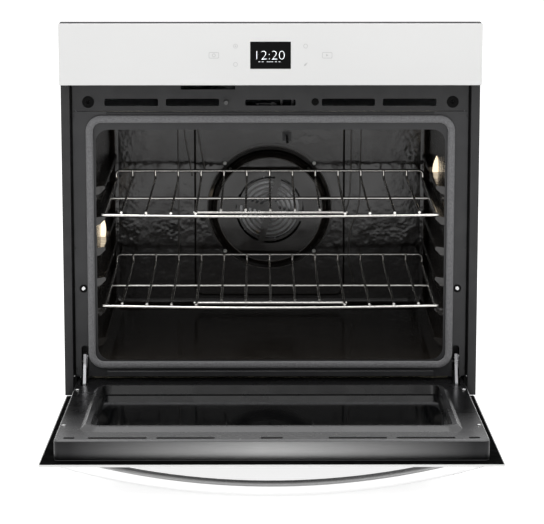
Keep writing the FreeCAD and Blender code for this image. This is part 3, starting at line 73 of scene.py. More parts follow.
def make_camera():
    cam = bpy.data.objects.new("camera", bpy.data.cameras.new("camera"))
    bpy.context.collection.objects.link(cam)
    cam.location = CAMERA_AT
    cam.rotation_euler = (CAMERA_TO - CAMERA_AT).to_track_quat("-Z", "Y").to_euler()
    cam.data.lens = LENS_MM
    cam.data.sensor_width = SENSOR_MM
    cam.data.clip_end = CAMERA_REACH
    bpy.context.scene.camera = cam


def area_light(name, at, towards, width, height, power):
    data = bpy.data.lights.new(name, "AREA")
    data.shape = "RECTANGLE"
    data.size = width
    data.size_y = height
    data.energy = power
    lamp = bpy.data.objects.new(name, data)
    bpy.context.collection.objects.link(lamp)
    lamp.location = at
    lamp.rotation_euler = (Vector(towards) - Vector(at)).to_track_quat("-Z", "Y").to_euler()


def make_light():
    """White surroundings for the camera, dimmer light for the object, and three soft boxes."""
    scene = bpy.context.scene
    scene.view_settings.view_transform = "Standard"
    world = bpy.data.worlds.new("studio")
    world.use_nodes = True
    tree = world.node_tree
    plain = tree.nodes["Background"]
    plain.inputs["Color"].default_value = (1, 1, 1, 1)
    place = tree.nodes.new("ShaderNodeTexCoord")
    split = tree.nodes.new("ShaderNodeSeparateXYZ")
    tree.links.new(place.outputs["Generated"], split.inputs["Vector"])
    rise = tree.nodes.new("ShaderNodeMapRange")
    rise.inputs["From Min"].default_value = 0.0
    rise.inputs["From Max"].default_value = WORLD_HIGH_FROM
    rise.inputs["To Min"].default_value = WORLD_LOW
    rise.inputs["To Max"].default_value = WORLD_HIGH
    tree.links.new(split.outputs["Z"], rise.inputs["Value"])
    tree.links.new(rise.outputs["Result"], plain.inputs["Strength"])
    seen = tree.nodes.new("ShaderNodeBackground")
    seen.inputs["Color"].default_value = (1, 1, 1, 1)
    seen.inputs["Strength"].default_value = WORLD_SEEN
    path = tree.nodes.new("ShaderNodeLightPath")
    mix = tree.nodes.new("ShaderNodeMixShader")
    tree.links.new(path.outputs["Is Camera Ray"], mix.inputs["Fac"])
    tree.links.new(plain.outputs["Background"], mix.inputs[1])
    tree.links.new(seen.outputs["Background"], mix.inputs[2])
    tree.links.new(mix.outputs["Shader"], tree.nodes["World Output"].inputs["Surface"])
    scene.world = world
    area_light("key", at=(-1.3, -2.6, 3.4), towards=(0, -0.5, 0.3),
               width=2.4, height=1.6, power=KEY_POWER)
    area_light("fill", at=(1.8, -3.0, 2.2), towards=(0, -0.4, 0.3),
               width=1.6, height=1.6, power=FILL_POWER)
    area_light("top", at=(0.0, -0.9, 3.6), towards=(0, -0.7, 0.2),
               width=3.0, height=1.6, power=TOP_POWER)


# ---- materials ----------------------------------------------------------------------
WHITE = (0.64, 0.64, 0.635)
STEEL = (0.3, 0.3, 0.31)
GREY_TRIM = (0.01, 0.01, 0.011)
GREY_FRAME = (0.017, 0.017, 0.0185)
DARK_ENAMEL = (0.013, 0.0105, 0.0085)
BULB_TINT = (1.0, 0.84, 0.64)
LENS_TINT = (1.0, 0.84, 0.62)
BULB_POWER = 90.0
LENS_POWER = 1.3
GRAIN_DEPTH = 0.02 * MM
PEEL_SCALE = 900.0
PEEL_DEPTH = 0.03 * MM
PAINT_DRIFT = 0.12
STREAK_LOW = (0.93, 0.93, 0.93)
STREAK_HIGH = (1.05, 1.05, 1.05)
PRINT_ROUGH = 0.3
# Painted shade and painted reflections, fixed to the object. LINER_GREY is in metres along Y.
HANDLE_SHADE = (0.08, 0.08, 0.082)
HANDLE_LIT_UNTIL = 0.1
LINER_GREY_FROM = -0.62
LINER_GREY_TO = -0.86
BAND_MIDDLE = (0.37, 0.37, 0.37)
BAND_END = (0.035, 0.035, 0.036)
BAND_FADE_FROM = 0.02
BAND_FADE_TO = 0.33


class Look:
    """A material under construction: one Principled shader and a few texture helpers."""

    def __init__(self, name):
        self.mat = bpy.data.materials.new(name)
        self.mat.use_nodes = True
        self.tree = self.mat.node_tree
        self.shader = self.tree.nodes["Principled BSDF"]
        self.coord = self.tree.nodes.new("ShaderNodeTexCoord")

    def node(self, kind, **inputs):
        made = self.tree.nodes.new(kind)
        for key, value in inputs.items():
            made.inputs[key.replace("_", " ")].default_value = value
        return made

    def link(self, a, b):
        self.tree.links.new(a, b)

    def set(self, **values):
        for key, value in values.items():
            self.shader.inputs[key.replace("_", " ")].default_value = value
        return self

    def noise(self, scale, detail=4.0, rough=0.5, stretch=(1, 1, 1)):
        mapping = self.tree.nodes.new("ShaderNodeMapping")
        mapping.inputs["Scale"].default_value = stretch
        self.link(self.coord.outputs["Object"], mapping.inputs["Vector"])
        tex = self.node("ShaderNodeTexNoise", Scale=scale, Detail=detail, Roughness=rough)
        self.link(mapping.outputs["Vector"], tex.inputs["Vector"])
        return tex.outputs["Fac"]

    def ramp(self, fac, low, high, start=0.35, end=0.65):
        made = self.tree.nodes.new("ShaderNodeValToRGB")
        made.color_ramp.elements[0].position = start
        made.color_ramp.elements[1].position = end
        made.color_ramp.elements[0].color = (*low, 1)
        made.color_ramp.elements[1].color = (*high, 1)
        self.link(fac, made.inputs["Fac"])
        return made.outputs["Color"]

    def colour(self, fac, low, high, start=0.35, end=0.65):
        self.link(self.ramp(fac, low, high, start, end), self.shader.inputs["Base Color"])

    def roughness(self, fac, low, high, start=0.35, end=0.65):
        out = self.tree.nodes.new("ShaderNodeMapRange")
        out.inputs["From Min"].default_value = start
        out.inputs["From Max"].default_value = end
        out.inputs["To Min"].default_value = low
        out.inputs["To Max"].default_value = high
        self.link(fac, out.inputs["Value"])
        self.link(out.outputs["Result"], self.shader.inputs["Roughness"])

    def bump(self, fac, strength, distance):
        made = self.node("ShaderNodeBump", Strength=strength, Distance=distance)
        self.link(fac, made.inputs["Height"])
        self.link(made.outputs["Normal"], self.shader.inputs["Normal"])


def scaled(colour, factor):
    return tuple(min(1.0, c * factor) for c in colour)


def painted(name, colour, rough, shine=0.5):
    """Satin or gloss paint: faint orange peel and a slow drift of shade."""
    look = Look(name)
    slow = look.noise(scale=6.0, detail=3.0)
    look.colour(slow, scaled(colour, 1 - PAINT_DRIFT), scaled(colour, 1 + PAINT_DRIFT))
    look.roughness(look.noise(scale=40.0, detail=3.0), low=rough * 0.85, high=min(1.0, rough * 1.15))
    look.bump(look.noise(scale=PEEL_SCALE, detail=2.0), strength=0.35, distance=PEEL_DEPTH)
    look.set(Specular_IOR_Level=shine)
    return look.mat


def plain_metal(name, colour, rough):
    """Bare metal with an even, slight mottling of shade and gloss."""
    look = Look(name)
    mottle = look.noise(scale=30.0, detail=6.0, rough=0.6)
    look.colour(mottle, scaled(colour, 0.9), scaled(colour, 1.1))
    look.roughness(mottle, low=rough * 0.8, high=rough * 1.25)
    look.bump(mottle, strength=0.12, distance=GRAIN_DEPTH)
    look.set(Metallic=1.0)
    return look.mat


def galvanised(name, colour):
    """Zinc coat: crystal patches of slightly different grey."""
    look = Look(name)
    cell = look.node("ShaderNodeTexVoronoi", Scale=70.0, Randomness=1.0)
    look.link(look.coord.outputs["Object"], cell.inputs["Vector"])
    look.colour(cell.outputs["Distance"], scaled(colour, 0.82), scaled(colour, 1.12), start=0.0, end=0.9)
    look.roughness(look.noise(scale=25.0, detail=4.0), low=0.38, high=0.55)
    look.set(Metallic=1.0)
    return look.mat


def chromed(name, colour, rough):
    """Bright plated metal with a fine unevenness."""
    look = Look(name)
    fine = look.noise(scale=220.0, detail=4.0)
    look.colour(fine, scaled(colour, 0.9), scaled(colour, 1.05))
    look.roughness(look.noise(scale=30.0, detail=4.0), low=rough * 0.7, high=rough * 1.6)
    look.set(Metallic=1.0)
    return look.mat


def hammered(name, colour):
    """Glossy enamel of the cavity, with broad waves and small dimples as bump."""
    look = Look(name)
    look.colour(look.noise(scale=500.0, detail=2.0), scaled(colour, 0.8), scaled(colour, 1.5),
                start=0.4, end=0.75)
    look.roughness(look.noise(scale=18.0, detail=4.0), low=0.09, high=0.2)
    broad = look.node("ShaderNodeBump", Strength=0.6, Distance=0.001)
    look.link(look.noise(scale=24.0, detail=3.0), broad.inputs["Height"])
    fine = look.node("ShaderNodeBump", Strength=0.7, Distance=0.0007)
    look.link(look.noise(scale=75.0, detail=1.0), fine.inputs["Height"])
    look.link(broad.outputs["Normal"], fine.inputs["Normal"])
    look.link(fine.outputs["Normal"], look.shader.inputs["Normal"])
    look.set(Specular_IOR_Level=0.6)
    return look.mat


def liner_enamel(name, inner, outer):
    """Dark enamel of the door's pan, with a painted reflection: a fixed grey gradient along Y, lighter towards the
    door's free end.
    """
    look = Look(name)
    place = look.tree.nodes.new("ShaderNodeSeparateXYZ")
    look.link(look.coord.outputs["Object"], place.inputs["Vector"])
    depth = look.node("ShaderNodeMapRange")
    depth.inputs["From Min"].default_value = LINER_GREY_FROM
    depth.inputs["From Max"].default_value = LINER_GREY_TO
    look.link(place.outputs["Y"], depth.inputs["Value"])
    look.colour(depth.outputs["Result"], inner, outer, start=0.0, end=1.0)
    look.roughness(look.noise(scale=18.0, detail=3.0), low=0.2, high=0.3)
    look.bump(look.noise(scale=400.0, detail=2.0), strength=0.2, distance=GRAIN_DEPTH)
    look.set(Specular_IOR_Level=0.2)
    return look.mat


def satin_bar_painted_shade(name, colour):
    """Satin metal of the handle, with painted shade and a painted reflection: darker on its faces that point up,
    fixed to the object.
    """
    look = Look(name)
    facing = look.tree.nodes.new("ShaderNodeSeparateXYZ")
    look.link(look.coord.outputs["Normal"], facing.inputs["Vector"])
    look.colour(facing.outputs["Z"], scaled(colour, 1.01), HANDLE_SHADE,
                start=HANDLE_LIT_UNTIL, end=1.0)
    look.roughness(look.noise(scale=5.0, detail=2.0), low=0.2, high=0.24)
    look.set(Metallic=1.0)
    return look.mat


def enamel(name, colour, rough, wave):
    """Porcelain enamel: deep gloss, gentle waves of the coat, specks in the ground."""
    look = Look(name)
    speck = look.noise(scale=700.0, detail=2.0)
    look.colour(speck, scaled(colour, 0.8), scaled(colour, 1.5), start=0.4, end=0.75)
    look.roughness(look.noise(scale=18.0, detail=4.0), low=rough * 0.7, high=rough * 1.7)
    look.bump(look.noise(scale=26.0, detail=3.0), strength=0.6, distance=wave)
    look.set(Specular_IOR_Level=0.55)
    return look.mat


def plastic(name, colour, rough=0.45, shine=0.5):
    """Moulded plastic with a fine spark texture."""
    look = Look(name)
    look.colour(look.noise(scale=12.0, detail=3.0), scaled(colour, 0.9), scaled(colour, 1.1))
    look.roughness(look.noise(scale=60.0, detail=3.0), low=rough * 0.85, high=rough * 1.2)
    look.bump(look.noise(scale=1400.0, detail=2.0), strength=0.25, distance=GRAIN_DEPTH)
    look.set(Specular_IOR_Level=shine)
    return look.mat


def back_painted_glass(name, colour):
    """Opaque coated glass: flat colour under a clear, almost perfect surface."""
    look = Look(name)
    look.colour(look.noise(scale=3.0, detail=2.0), scaled(colour, 0.985), scaled(colour, 1.01))
    look.roughness(look.noise(scale=8.0, detail=2.0), low=0.05, high=0.09)
    look.set(Specular_IOR_Level=0.5, Coat_Weight=0.4, Coat_Roughness=0.03)
    return look.mat


def fibre(name, colour):
    """Matt strands that mostly run one way."""
    look = Look(name)
    strands = look.noise(scale=260.0, detail=6.0, rough=0.7, stretch=(1, 5, 1))
    look.colour(strands, scaled(colour, 0.7), scaled(colour, 1.15))
    look.bump(strands, strength=0.9, distance=1.5 * MM)
    look.set(Roughness=0.95, Sheen_Weight=0.2)
    return look.mat


def glow(name, colour, power):
    """Glass that gives light itself, for the bulbs and for lenses that look lit."""
    look = Look(name)
    look.colour(look.noise(scale=20.0, detail=2.0), scaled(colour, 0.95), colour)
    look.set(Emission_Color=(*colour, 1), Emission_Strength=power, Roughness=0.5)
    return look.mat


def end_band(name):
    """Brushed steel with a painted reflection: lighter in the middle of its length, fixed to the object."""
    look = Look(name)
    streak = look.noise(scale=26.0, detail=6.0, rough=0.6, stretch=(1, 60, 60))
    place = look.tree.nodes.new("ShaderNodeSeparateXYZ")
    look.link(look.coord.outputs["Object"], place.inputs["Vector"])
    away = look.node("ShaderNodeMath")
    away.operation = "ABSOLUTE"
    look.link(place.outputs["X"], away.inputs[0])
    fade = look.ramp(away.outputs["Value"], BAND_MIDDLE, BAND_END,
                     start=BAND_FADE_FROM, end=BAND_FADE_TO)
    mix = look.tree.nodes.new("ShaderNodeMixRGB")
    mix.blend_type = "MULTIPLY"
    mix.inputs["Fac"].default_value = 1.0
    look.link(fade, mix.inputs["Color1"])
    look.link(look.ramp(streak, STREAK_LOW, STREAK_HIGH), mix.inputs["Color2"])
    look.link(mix.outputs["Color"], look.shader.inputs["Base Color"])
    look.bump(streak, strength=0.1, distance=GRAIN_DEPTH)
    look.set(Metallic=1.0, Roughness=0.38)
    return look.mat


def printed(name, colour):
    """Ink or a lit segment on glass."""
    look = Look(name)
    look.colour(look.noise(scale=300.0, detail=2.0), scaled(colour, 0.97), scaled(colour, 1.03))
    look.set(Roughness=PRINT_ROUGH)
    return look


LOOKS = {
    "galvanised_sheet": galvanised("look_galvanised", (0.62, 0.63, 0.64)),
    "zinc_screws": plain_metal("look_zinc", (0.66, 0.66, 0.64), rough=0.3),
    "grey_trim_paint": painted("look_grey_trim", GREY_TRIM, rough=0.42),
    "grey_frame_enamel": painted("look_grey_frame", GREY_FRAME, rough=0.4),
    "black_rings": plastic("look_black_rings", (0.002, 0.002, 0.002), rough=0.5, shine=0.08),
    "bright_screws": chromed("look_bright_screws", (0.75, 0.75, 0.75), rough=0.22),
    "cavity_enamel": hammered("look_cavity", DARK_ENAMEL),
    "fan_cover_enamel": enamel("look_fan_cover", DARK_ENAMEL, rough=0.14, wave=0.3 * MM),
    "seal_braid": fibre("look_seal", (0.16, 0.16, 0.165)),
    "fibre_blanket": fibre("look_blanket", (0.72, 0.66, 0.5)),
    "white_glass": back_painted_glass("look_white_glass", WHITE),
    "dark_housing": painted("look_housing", (0.02, 0.02, 0.022), rough=0.5),
    "display_black": plastic("look_display", (0.0012, 0.0012, 0.0012), rough=0.12, shine=0.08),
    "circuit_board": plastic("look_board", (0.03, 0.17, 0.07), rough=0.4),
    "motor_steel": plain_metal("look_motor", STEEL, rough=0.45),
    "fan_aluminium": plain_metal("look_fan", (0.42, 0.42, 0.43), rough=0.35),
    "terminal_plastic": plastic("look_terminal", (0.02, 0.02, 0.02)),
    "latch_steel": plain_metal("look_latch", (0.07, 0.07, 0.07), rough=0.4),
    "switch_plastic": plastic("look_switch", (0.1, 0.1, 0.1), shine=0.3),
    "heater_sheath": plain_metal("look_heater", (0.09, 0.085, 0.08), rough=0.5),
    "probe_steel": plain_metal("look_probe", (0.04, 0.04, 0.04), rough=0.3),
    "lamp_can": plain_metal("look_lamp_can", (0.4, 0.36, 0.3), rough=0.3),
    "bulb_glass": glow("look_bulb", BULB_TINT, BULB_POWER),
    "lens_glass": glow("look_lens", LENS_TINT, LENS_POWER),
    "rack_chrome": chromed("look_rack", (0.78, 0.76, 0.73), rough=0.16),
    "hinge_steel": plain_metal("look_hinge", STEEL, rough=0.28),
    "back_paint_black": painted("look_black_back", (0.001, 0.001, 0.001), rough=0.8, shine=0.02),
    "door_liner_enamel": liner_enamel("look_door_liner", inner=(0.002, 0.002, 0.0022),
                                      outer=(0.13, 0.13, 0.132)),
    "window_glass": back_painted_glass("look_window", (0.002, 0.0022, 0.0025)),
    "spacer_steel": plain_metal("look_spacer", (0.25, 0.25, 0.25), rough=0.4),
    "handle_white": satin_bar_painted_shade("look_handle", (0.74, 0.74, 0.74)),
}


def give_looks():
    """Every CAD node takes the look of its slot."""
    for entry in frame["record"]["subparts"]:
        obj = NODES[entry["node"]]
        look = LOOKS[entry["material_slot"]]
        if not obj.material_slots:
            obj.data.materials.append(look)
        for slot in obj.material_slots:
            slot.material = look


def make_floor():
    mesh = bpy.data.meshes.new("floor")
    half = FLOOR_SIZE / 2
    mesh.from_pydata([(-half, -half, 0), (half, -half, 0), (half, half, 0), (-half, half, 0)],
                     [], [(0, 1, 2, 3)])
    floor = bpy.data.objects.new("floor", mesh)
    bpy.context.collection.objects.link(floor)
    look = Look("look_floor")
    look.colour(look.noise(scale=2.0, detail=2.0), *FLOOR_SHADES)
    look.set(Roughness=0.9, Specular_IOR_Level=0.0)
    look.set(Emission_Color=(1, 1, 1, 1), Emission_Strength=FLOOR_GLOW)
    mesh.materials.append(look.mat)


# ---- making pieces ------------------------------------------------------------------
def add_piece(name, mesh, slot, body="chassis", look=None, smooth=True):
    """Puts a mesh in the scene as a piece of the oven that rides on a body."""
    obj = bpy.data.objects.new(name, mesh)
    bpy.context.collection.objects.link(obj)
    mesh.materials.clear()
    mesh.materials.append(look or LOOKS[slot])
    for face in mesh.polygons:
        face.use_smooth = smooth
    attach(obj, body)
    return obj


def mesh_of(bm, name):
    bmesh.ops.recalc_face_normals(bm, faces=bm.faces)
    mesh = bpy.data.meshes.new(name)
    bm.to_mesh(mesh)
    bm.free()
    return mesh


def rounded_rect(half_x, low, high, corner, steps=8):
    """Points round a rectangle with round corners, in x and z."""
    points = []
    for cx, cz, start in ((half_x - corner, high - corner, 0), (corner - half_x, high - corner, 90),
                          (corner - half_x, low + corner, 180), (half_x - corner, low + corner, 270)):
        for i in range(steps + 1):
            angle = math.radians(start + 90 * i / steps)
            points.append((cx + corner * math.cos(angle), cz + corner * math.sin(angle)))
    return points


def plate_rings(bm, rings, close_ends=True):
    """Joins rings of points into a skin; each ring is a list of 3-D points."""
    loops = [[bm.verts.new(p) for p in ring] for ring in rings]
    for first, second in zip(loops, loops[1:]):
        for i in range(len(first)):
            j = (i + 1) % len(first)
            bm.faces.new((first[i], first[j], second[j], second[i]))
    if close_ends:
        bm.faces.new(loops[0])
        bm.faces.new(list(reversed(loops[-1])))


def printed_patch(bm, outline, y, thick, hole=None):
    """A thin raised print on a face that looks to -Y; a hole leaves a closed ring."""
    back = [(x, y, z) for x, z in outline]
    front = [(x, y - thick, z) for x, z in outline]
    if hole is None:
        plate_rings(bm, [back, front])
        return
    inner_front = [(x, y - thick, z) for x, z in hole]
    inner_back = [(x, y, z) for x, z in hole]
    plate_rings(bm, [back, front, inner_front, inner_back, back], close_ends=False)
    bmesh.ops.remove_doubles(bm, verts=bm.verts, dist=WELD)


def moved(points, dx, dz):
    return [(x + dx, z + dz) for x, z in points]


def circle(radius, steps=28):
    return [(radius * math.cos(2 * math.pi * i / steps), radius * math.sin(2 * math.pi * i / steps))
            for i in range(steps)]


# ---- control panel ------------------------------------------------------------------
PANEL_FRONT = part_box("control_glass")[0][1]
DISPLAY_AT = 680.5 * MM
DISPLAY_SIZE = (72.5 * MM, 48.6 * MM)
CLOCK_HEIGHT = 15.5 * MM
CLOCK_WIDTH = 50.0 * MM
CLOCK_THIN = -0.03
DATE_DROP = 11.6 * MM
DATE_DASHES = (-20.0, -14.0, -5.0, -1.0, 3.0, 9.5, 16.0)
DASH_SIZE = (3.4 * MM, 1.1 * MM)
DASH_CORNER = 0.3 * MM
WINDOW_THICK = 0.2 * MM
WINDOW_CORNER = 0.8 * MM
INK_THICK = 0.12 * MM
DIGIT_THICK = 0.1 * MM
TEXT_DEPTH = 0.01
LIT_TINT = (0.9, 0.93, 1.0, 1)
DIGIT_WHITE = (0.9, 0.92, 0.95)
DASH_GREY = (0.5, 0.5, 0.52)
ICON_GREY = (0.42, 0.42, 0.42)
DASH_STEPS = 3
CLOCK_LIGHT = 0.75
DASH_LIGHT = 0.3
SIDE_ICON_X = 101.0 * MM
SIDE_ICON_SIZE = (18.0 * MM, 11.0 * MM)
SMALL_ICON_X = 62.5 * MM
SMALL_ICON_RISE = 16.3 * MM
SMALL_ICON_R = 4.0 * MM
ICON_LINE = 0.9 * MM
ICON_CORNER = 2.0 * MM
ICON_INNER_CORNER = 1.2 * MM
KNOB_OUTER = 3.2 * MM
KNOB_INNER = 2.2 * MM
DOT_R = 1.3 * MM
ARROW_TAIL = -2.0 * MM
ARROW_TIP = 2.4 * MM
ARROW_HALF = 2.2 * MM
LEAF_END = 3.6 * MM
LEAF_STEM = 3.4 * MM
LEAF_LONG = 1.6 * MM
LEAF_SHORT = 0.8 * MM
WELD = 1e-7


def lit_print(name, colour, strength):
    """Print of the display that gives light."""
    return printed(name, colour).set(Emission_Color=LIT_TINT, Emission_Strength=strength).mat


def make_display_window():
    """Black window of the display."""
    width, height = DISPLAY_SIZE
    outline = rounded_rect(width / 2, DISPLAY_AT - height / 2, DISPLAY_AT + height / 2,
                           WINDOW_CORNER)
    bm = bmesh.new()
    printed_patch(bm, outline, PANEL_FRONT, WINDOW_THICK)
    add_piece("display_window", mesh_of(bm, "display_window"), "display_black", smooth=False)


def make_clock():
    """Digits of a plain clock in Blender's own font, fitted to their width and height."""
    text = bpy.data.curves.new("clock_text", "FONT")
    text.body = "12:20"
    text.extrude = TEXT_DEPTH
    text.offset = CLOCK_THIN
    source = bpy.data.objects.new("clock_source", text)
    bpy.context.collection.objects.link(source)
    bpy.context.view_layer.update()
    mesh = bpy.data.meshes.new_from_object(source)
    bpy.data.objects.remove(source)
    low = [min(v.co[i] for v in mesh.vertices) for i in range(3)]
    high = [max(v.co[i] for v in mesh.vertices) for i in range(3)]
    for v in mesh.vertices:
        along, up, deep = [(v.co[i] - low[i]) / (high[i] - low[i]) for i in range(3)]
        v.co = ((along - 0.5) * CLOCK_WIDTH, PANEL_FRONT - WINDOW_THICK - deep * DIGIT_THICK,
                DISPLAY_AT + (up - 0.5) * CLOCK_HEIGHT)
    lit = lit_print("look_digits", DIGIT_WHITE, CLOCK_LIGHT)
    add_piece("clock_digits", mesh, "display_black", look=lit, smooth=False)


def make_dashes():
    """Row of plain dashes under the clock."""
    wide, tall = DASH_SIZE
    bm = bmesh.new()
    for x in DATE_DASHES:
        dash = rounded_rect(wide / 2, -tall / 2, tall / 2, DASH_CORNER, DASH_STEPS)
        printed_patch(bm, moved(dash, x * MM, DISPLAY_AT - DATE_DROP), PANEL_FRONT - WINDOW_THICK,
                      INK_THICK)
    dim = lit_print("look_dashes", DASH_GREY, DASH_LIGHT)
    add_piece("clock_dashes", mesh_of(bm, "clock_dashes"), "display_black", look=dim, smooth=False)


def make_icons():
    """Faint touch symbols on both sides of the display."""
    grey = printed("look_icons", ICON_GREY).mat
    wide, tall = SIDE_ICON_SIZE
    bm = bmesh.new()
    for side in (-1, 1):
        outer = rounded_rect(wide / 2, -tall / 2, tall / 2, ICON_CORNER)
        inner = rounded_rect(wide / 2 - ICON_LINE, ICON_LINE - tall / 2, tall / 2 - ICON_LINE,
                             ICON_INNER_CORNER)
        at = (side * SIDE_ICON_X, DISPLAY_AT)
        printed_patch(bm, moved(outer, *at), PANEL_FRONT, INK_THICK, hole=moved(inner, *at))
    knob = (-SIDE_ICON_X, DISPLAY_AT)
    printed_patch(bm, moved(circle(KNOB_OUTER), *knob), PANEL_FRONT, INK_THICK,
                  hole=moved(circle(KNOB_INNER), *knob))
    arrow = [(ARROW_TAIL, -ARROW_HALF), (ARROW_TIP, 0), (ARROW_TAIL, ARROW_HALF)]
    printed_patch(bm, moved(arrow, SIDE_ICON_X, DISPLAY_AT), PANEL_FRONT, INK_THICK)
    for side, rise in ((-1, 1), (-1, -1), (1, 1)):
        at = (side * SMALL_ICON_X, DISPLAY_AT + rise * SMALL_ICON_RISE)
        printed_patch(bm, moved(circle(SMALL_ICON_R), *at), PANEL_FRONT, INK_THICK,
                      hole=moved(circle(SMALL_ICON_R - ICON_LINE), *at))
    at = (-SMALL_ICON_X, DISPLAY_AT + SMALL_ICON_RISE)
    printed_patch(bm, moved(circle(DOT_R), *at), PANEL_FRONT, INK_THICK)
    leaf = [(-LEAF_STEM, -LEAF_STEM), (LEAF_SHORT, -LEAF_LONG), (LEAF_END, LEAF_END),
            (-LEAF_LONG, LEAF_SHORT)]
    printed_patch(bm, moved(leaf, SMALL_ICON_X, DISPLAY_AT - SMALL_ICON_RISE), PANEL_FRONT, INK_THICK)
    add_piece("touch_icons", mesh_of(bm, "touch_icons"), "white_glass", look=grey, smooth=False)


# ---- braided door seal --------------------------------------------------------------
SEAL_SIDES = 32
SEAL_STEP = 1.05 * MM
SEAL_STRANDS = 8
SEAL_CORNER = 22.0 * MM
SEAL_CORNER_STEPS = 24
SEAL_HALF_WIDTH = 6.75 * MM
SEAL_LAY_RADIUS = 5.0 * MM
SEAL_RELIEF = 0.14
STRAND_ROUND = 0.6


def path_walk(points, step):
    """Evenly spaced places and directions round a closed outline in x and z."""
    ends = points[1:] + points[:1]
    lengths = [math.dist(a, b) for a, b in zip(points, ends)]
    total = sum(lengths)
    count = round(total / step)
    walk = []
    index, passed = 0, 0.0
    for i in range(count):
        goal = total * i / count
        while passed + lengths[index] < goal:
            passed += lengths[index]
            index += 1
        part = (goal - passed) / lengths[index]
        a, b = points[index], ends[index]
        direction = ((b[0] - a[0]) / lengths[index], (b[1] - a[1]) / lengths[index])
        walk.append(((a[0] + (b[0] - a[0]) * part, a[1] + (b[1] - a[1]) * part), direction, goal))
    return walk, total


def make_seal():
    """Tube of woven wire and glass fibre round the oven's mouth."""
    low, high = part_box("door_gasket")
    deep = (high[1] - low[1]) / 2
    wide = SEAL_HALF_WIDTH
    outline = rounded_rect(high[0] - wide, low[2] + wide, high[2] - wide, SEAL_CORNER,
                           SEAL_CORNER_STEPS)
    walk, total = path_walk(outline, SEAL_STEP)
    turns = round(total / (2 * math.pi * SEAL_LAY_RADIUS))
    y = (low[1] + high[1]) / 2
    bm = bmesh.new()
    loops = []
    for (x, z), (tx, tz), along in walk:
        loop = []
        for i in range(SEAL_SIDES):
            u = i / SEAL_SIDES
            q = SEAL_STRANDS * u
            p = SEAL_STRANDS * turns * along / total
            first = abs(math.sin(math.pi * (p + q)))
            second = abs(math.sin(math.pi * (p - q)))
            size = 1 - SEAL_RELIEF * (1 - max(first, second) ** STRAND_ROUND)
            out = wide * size * math.cos(2 * math.pi * u)
            loop.append(bm.verts.new((x + tz * out, y + deep * size * math.sin(2 * math.pi * u),
                                      z - tx * out)))
        loops.append(loop)
    for a, b in zip(loops, loops[1:] + loops[:1]):
        for i in range(SEAL_SIDES):
            j = (i + 1) % SEAL_SIDES
            bm.faces.new((a[i], a[j], b[j], b[i]))
    seal = add_piece("door_seal_braid", mesh_of(bm, "door_seal_braid"), "seal_braid")
    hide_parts("door_gasket")


# ---- fibre blankets -----------------------------------------------------------------
LUMP_SCALE = 16.0
GRAIN_SCALE = 75.0
LUMP_SHARE = 0.7
GRAIN_SHARE = 0.3
SOFTEN_FACTOR = 0.5
SOFTEN_STEPS = 6
CAVITY_VOXEL = 7.0 * MM
CAVITY_DIMPLE = 1.6 * MM
DOOR_VOXEL = 5.0 * MM
DOOR_DIMPLE = 1.0 * MM


def fluffed(node, name, slot, body, voxel, depth):
    """A batt of fibre in the space of a plain CAD solid: dimpled, with soft corners."""
    source = bpy.data.objects.new(name + "_source", NODES[node].data.copy())
    bpy.context.collection.objects.link(source)
    remesh = source.modifiers.new("cells", "REMESH")
    remesh.mode = "VOXEL"
    remesh.voxel_size = voxel
    soften = source.modifiers.new("soften", "SMOOTH")
    soften.factor = SOFTEN_FACTOR
    soften.iterations = SOFTEN_STEPS
    bpy.context.view_layer.update()
    whole = source.evaluated_get(bpy.context.evaluated_depsgraph_get())
    mesh = bpy.data.meshes.new_from_object(whole)
    bpy.data.objects.remove(source)
    normals = [v.normal.copy() for v in mesh.vertices]
    for v, normal in zip(mesh.vertices, normals):
        lump = 0.5 + 0.5 * noise.noise(v.co * LUMP_SCALE)
        grain = 0.5 + 0.5 * noise.noise(v.co * GRAIN_SCALE)
        v.co = v.co - normal * depth * (LUMP_SHARE * lump + GRAIN_SHARE * grain)
    batt = add_piece(name, mesh, slot, body)
    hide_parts(node)


# ---- steel band on the end of the door's liner --------------------------------------
PIVOT_Y = JOINTS["door_hinge"]["pos_m"][1]
PIVOT_Z = JOINTS["door_hinge"]["pos_m"][2]
OPEN_ANGLE = math.radians(JOINTS["door_hinge"]["range_deg"][1])
LINER_END = 597.0 * MM
LINER_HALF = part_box("door_liner")[1][0]
BAND_BACK = -336.0 * MM
BAND_FRONT = -305.4 * MM
BAND_THICK = 0.35 * MM
BAND_EDGE = 1.6 * MM
BAND_CORNER = 10.0 * MM
BAND_TURN = 80.0
BAND_STEPS = 8


def opened(x, y, z):
    """Place in the frame, with the door open, of a point given with the door closed."""
    dy, dz = y - PIVOT_Y, z - PIVOT_Z
    c, s = math.cos(OPEN_ANGLE), math.sin(OPEN_ANGLE)
    return (x, PIVOT_Y + dy * c - dz * s, PIVOT_Z + dy * s + dz * c)


def make_end_band():
    """Thin brushed skin on the end of the liner, turned over its two rounded corners."""
    straight = LINER_HALF - BAND_CORNER
    quarter = []
    for i in range(BAND_STEPS + 1):
        angle = math.radians(90 - BAND_TURN * i / BAND_STEPS)
        quarter.append((math.cos(angle), math.sin(angle)))
    around = [(straight, nx, nz) for nx, nz in quarter]
    around = [(-x, -nx, nz) for x, nx, nz in reversed(around)] + around
    lips = ((BAND_BACK, 0.0), (BAND_BACK + BAND_EDGE, BAND_THICK),
            (BAND_FRONT - BAND_EDGE, BAND_THICK), (BAND_FRONT, 0.0))
    bm = bmesh.new()
    loops = []
    for y, out in lips:
        reach = BAND_CORNER + out
        loops.append([bm.verts.new(opened(x + nx * reach, y, LINER_END - BAND_CORNER + nz * reach))
                      for x, nx, nz in around])
    for first, second in zip(loops, loops[1:]):
        for i in range(len(around) - 1):
            bm.faces.new((first[i], first[i + 1], second[i + 1], second[i]))
    add_piece("door_end_band", mesh_of(bm, "door_end_band"), "door_liner_enamel", "door",
              end_band("look_end_band"))


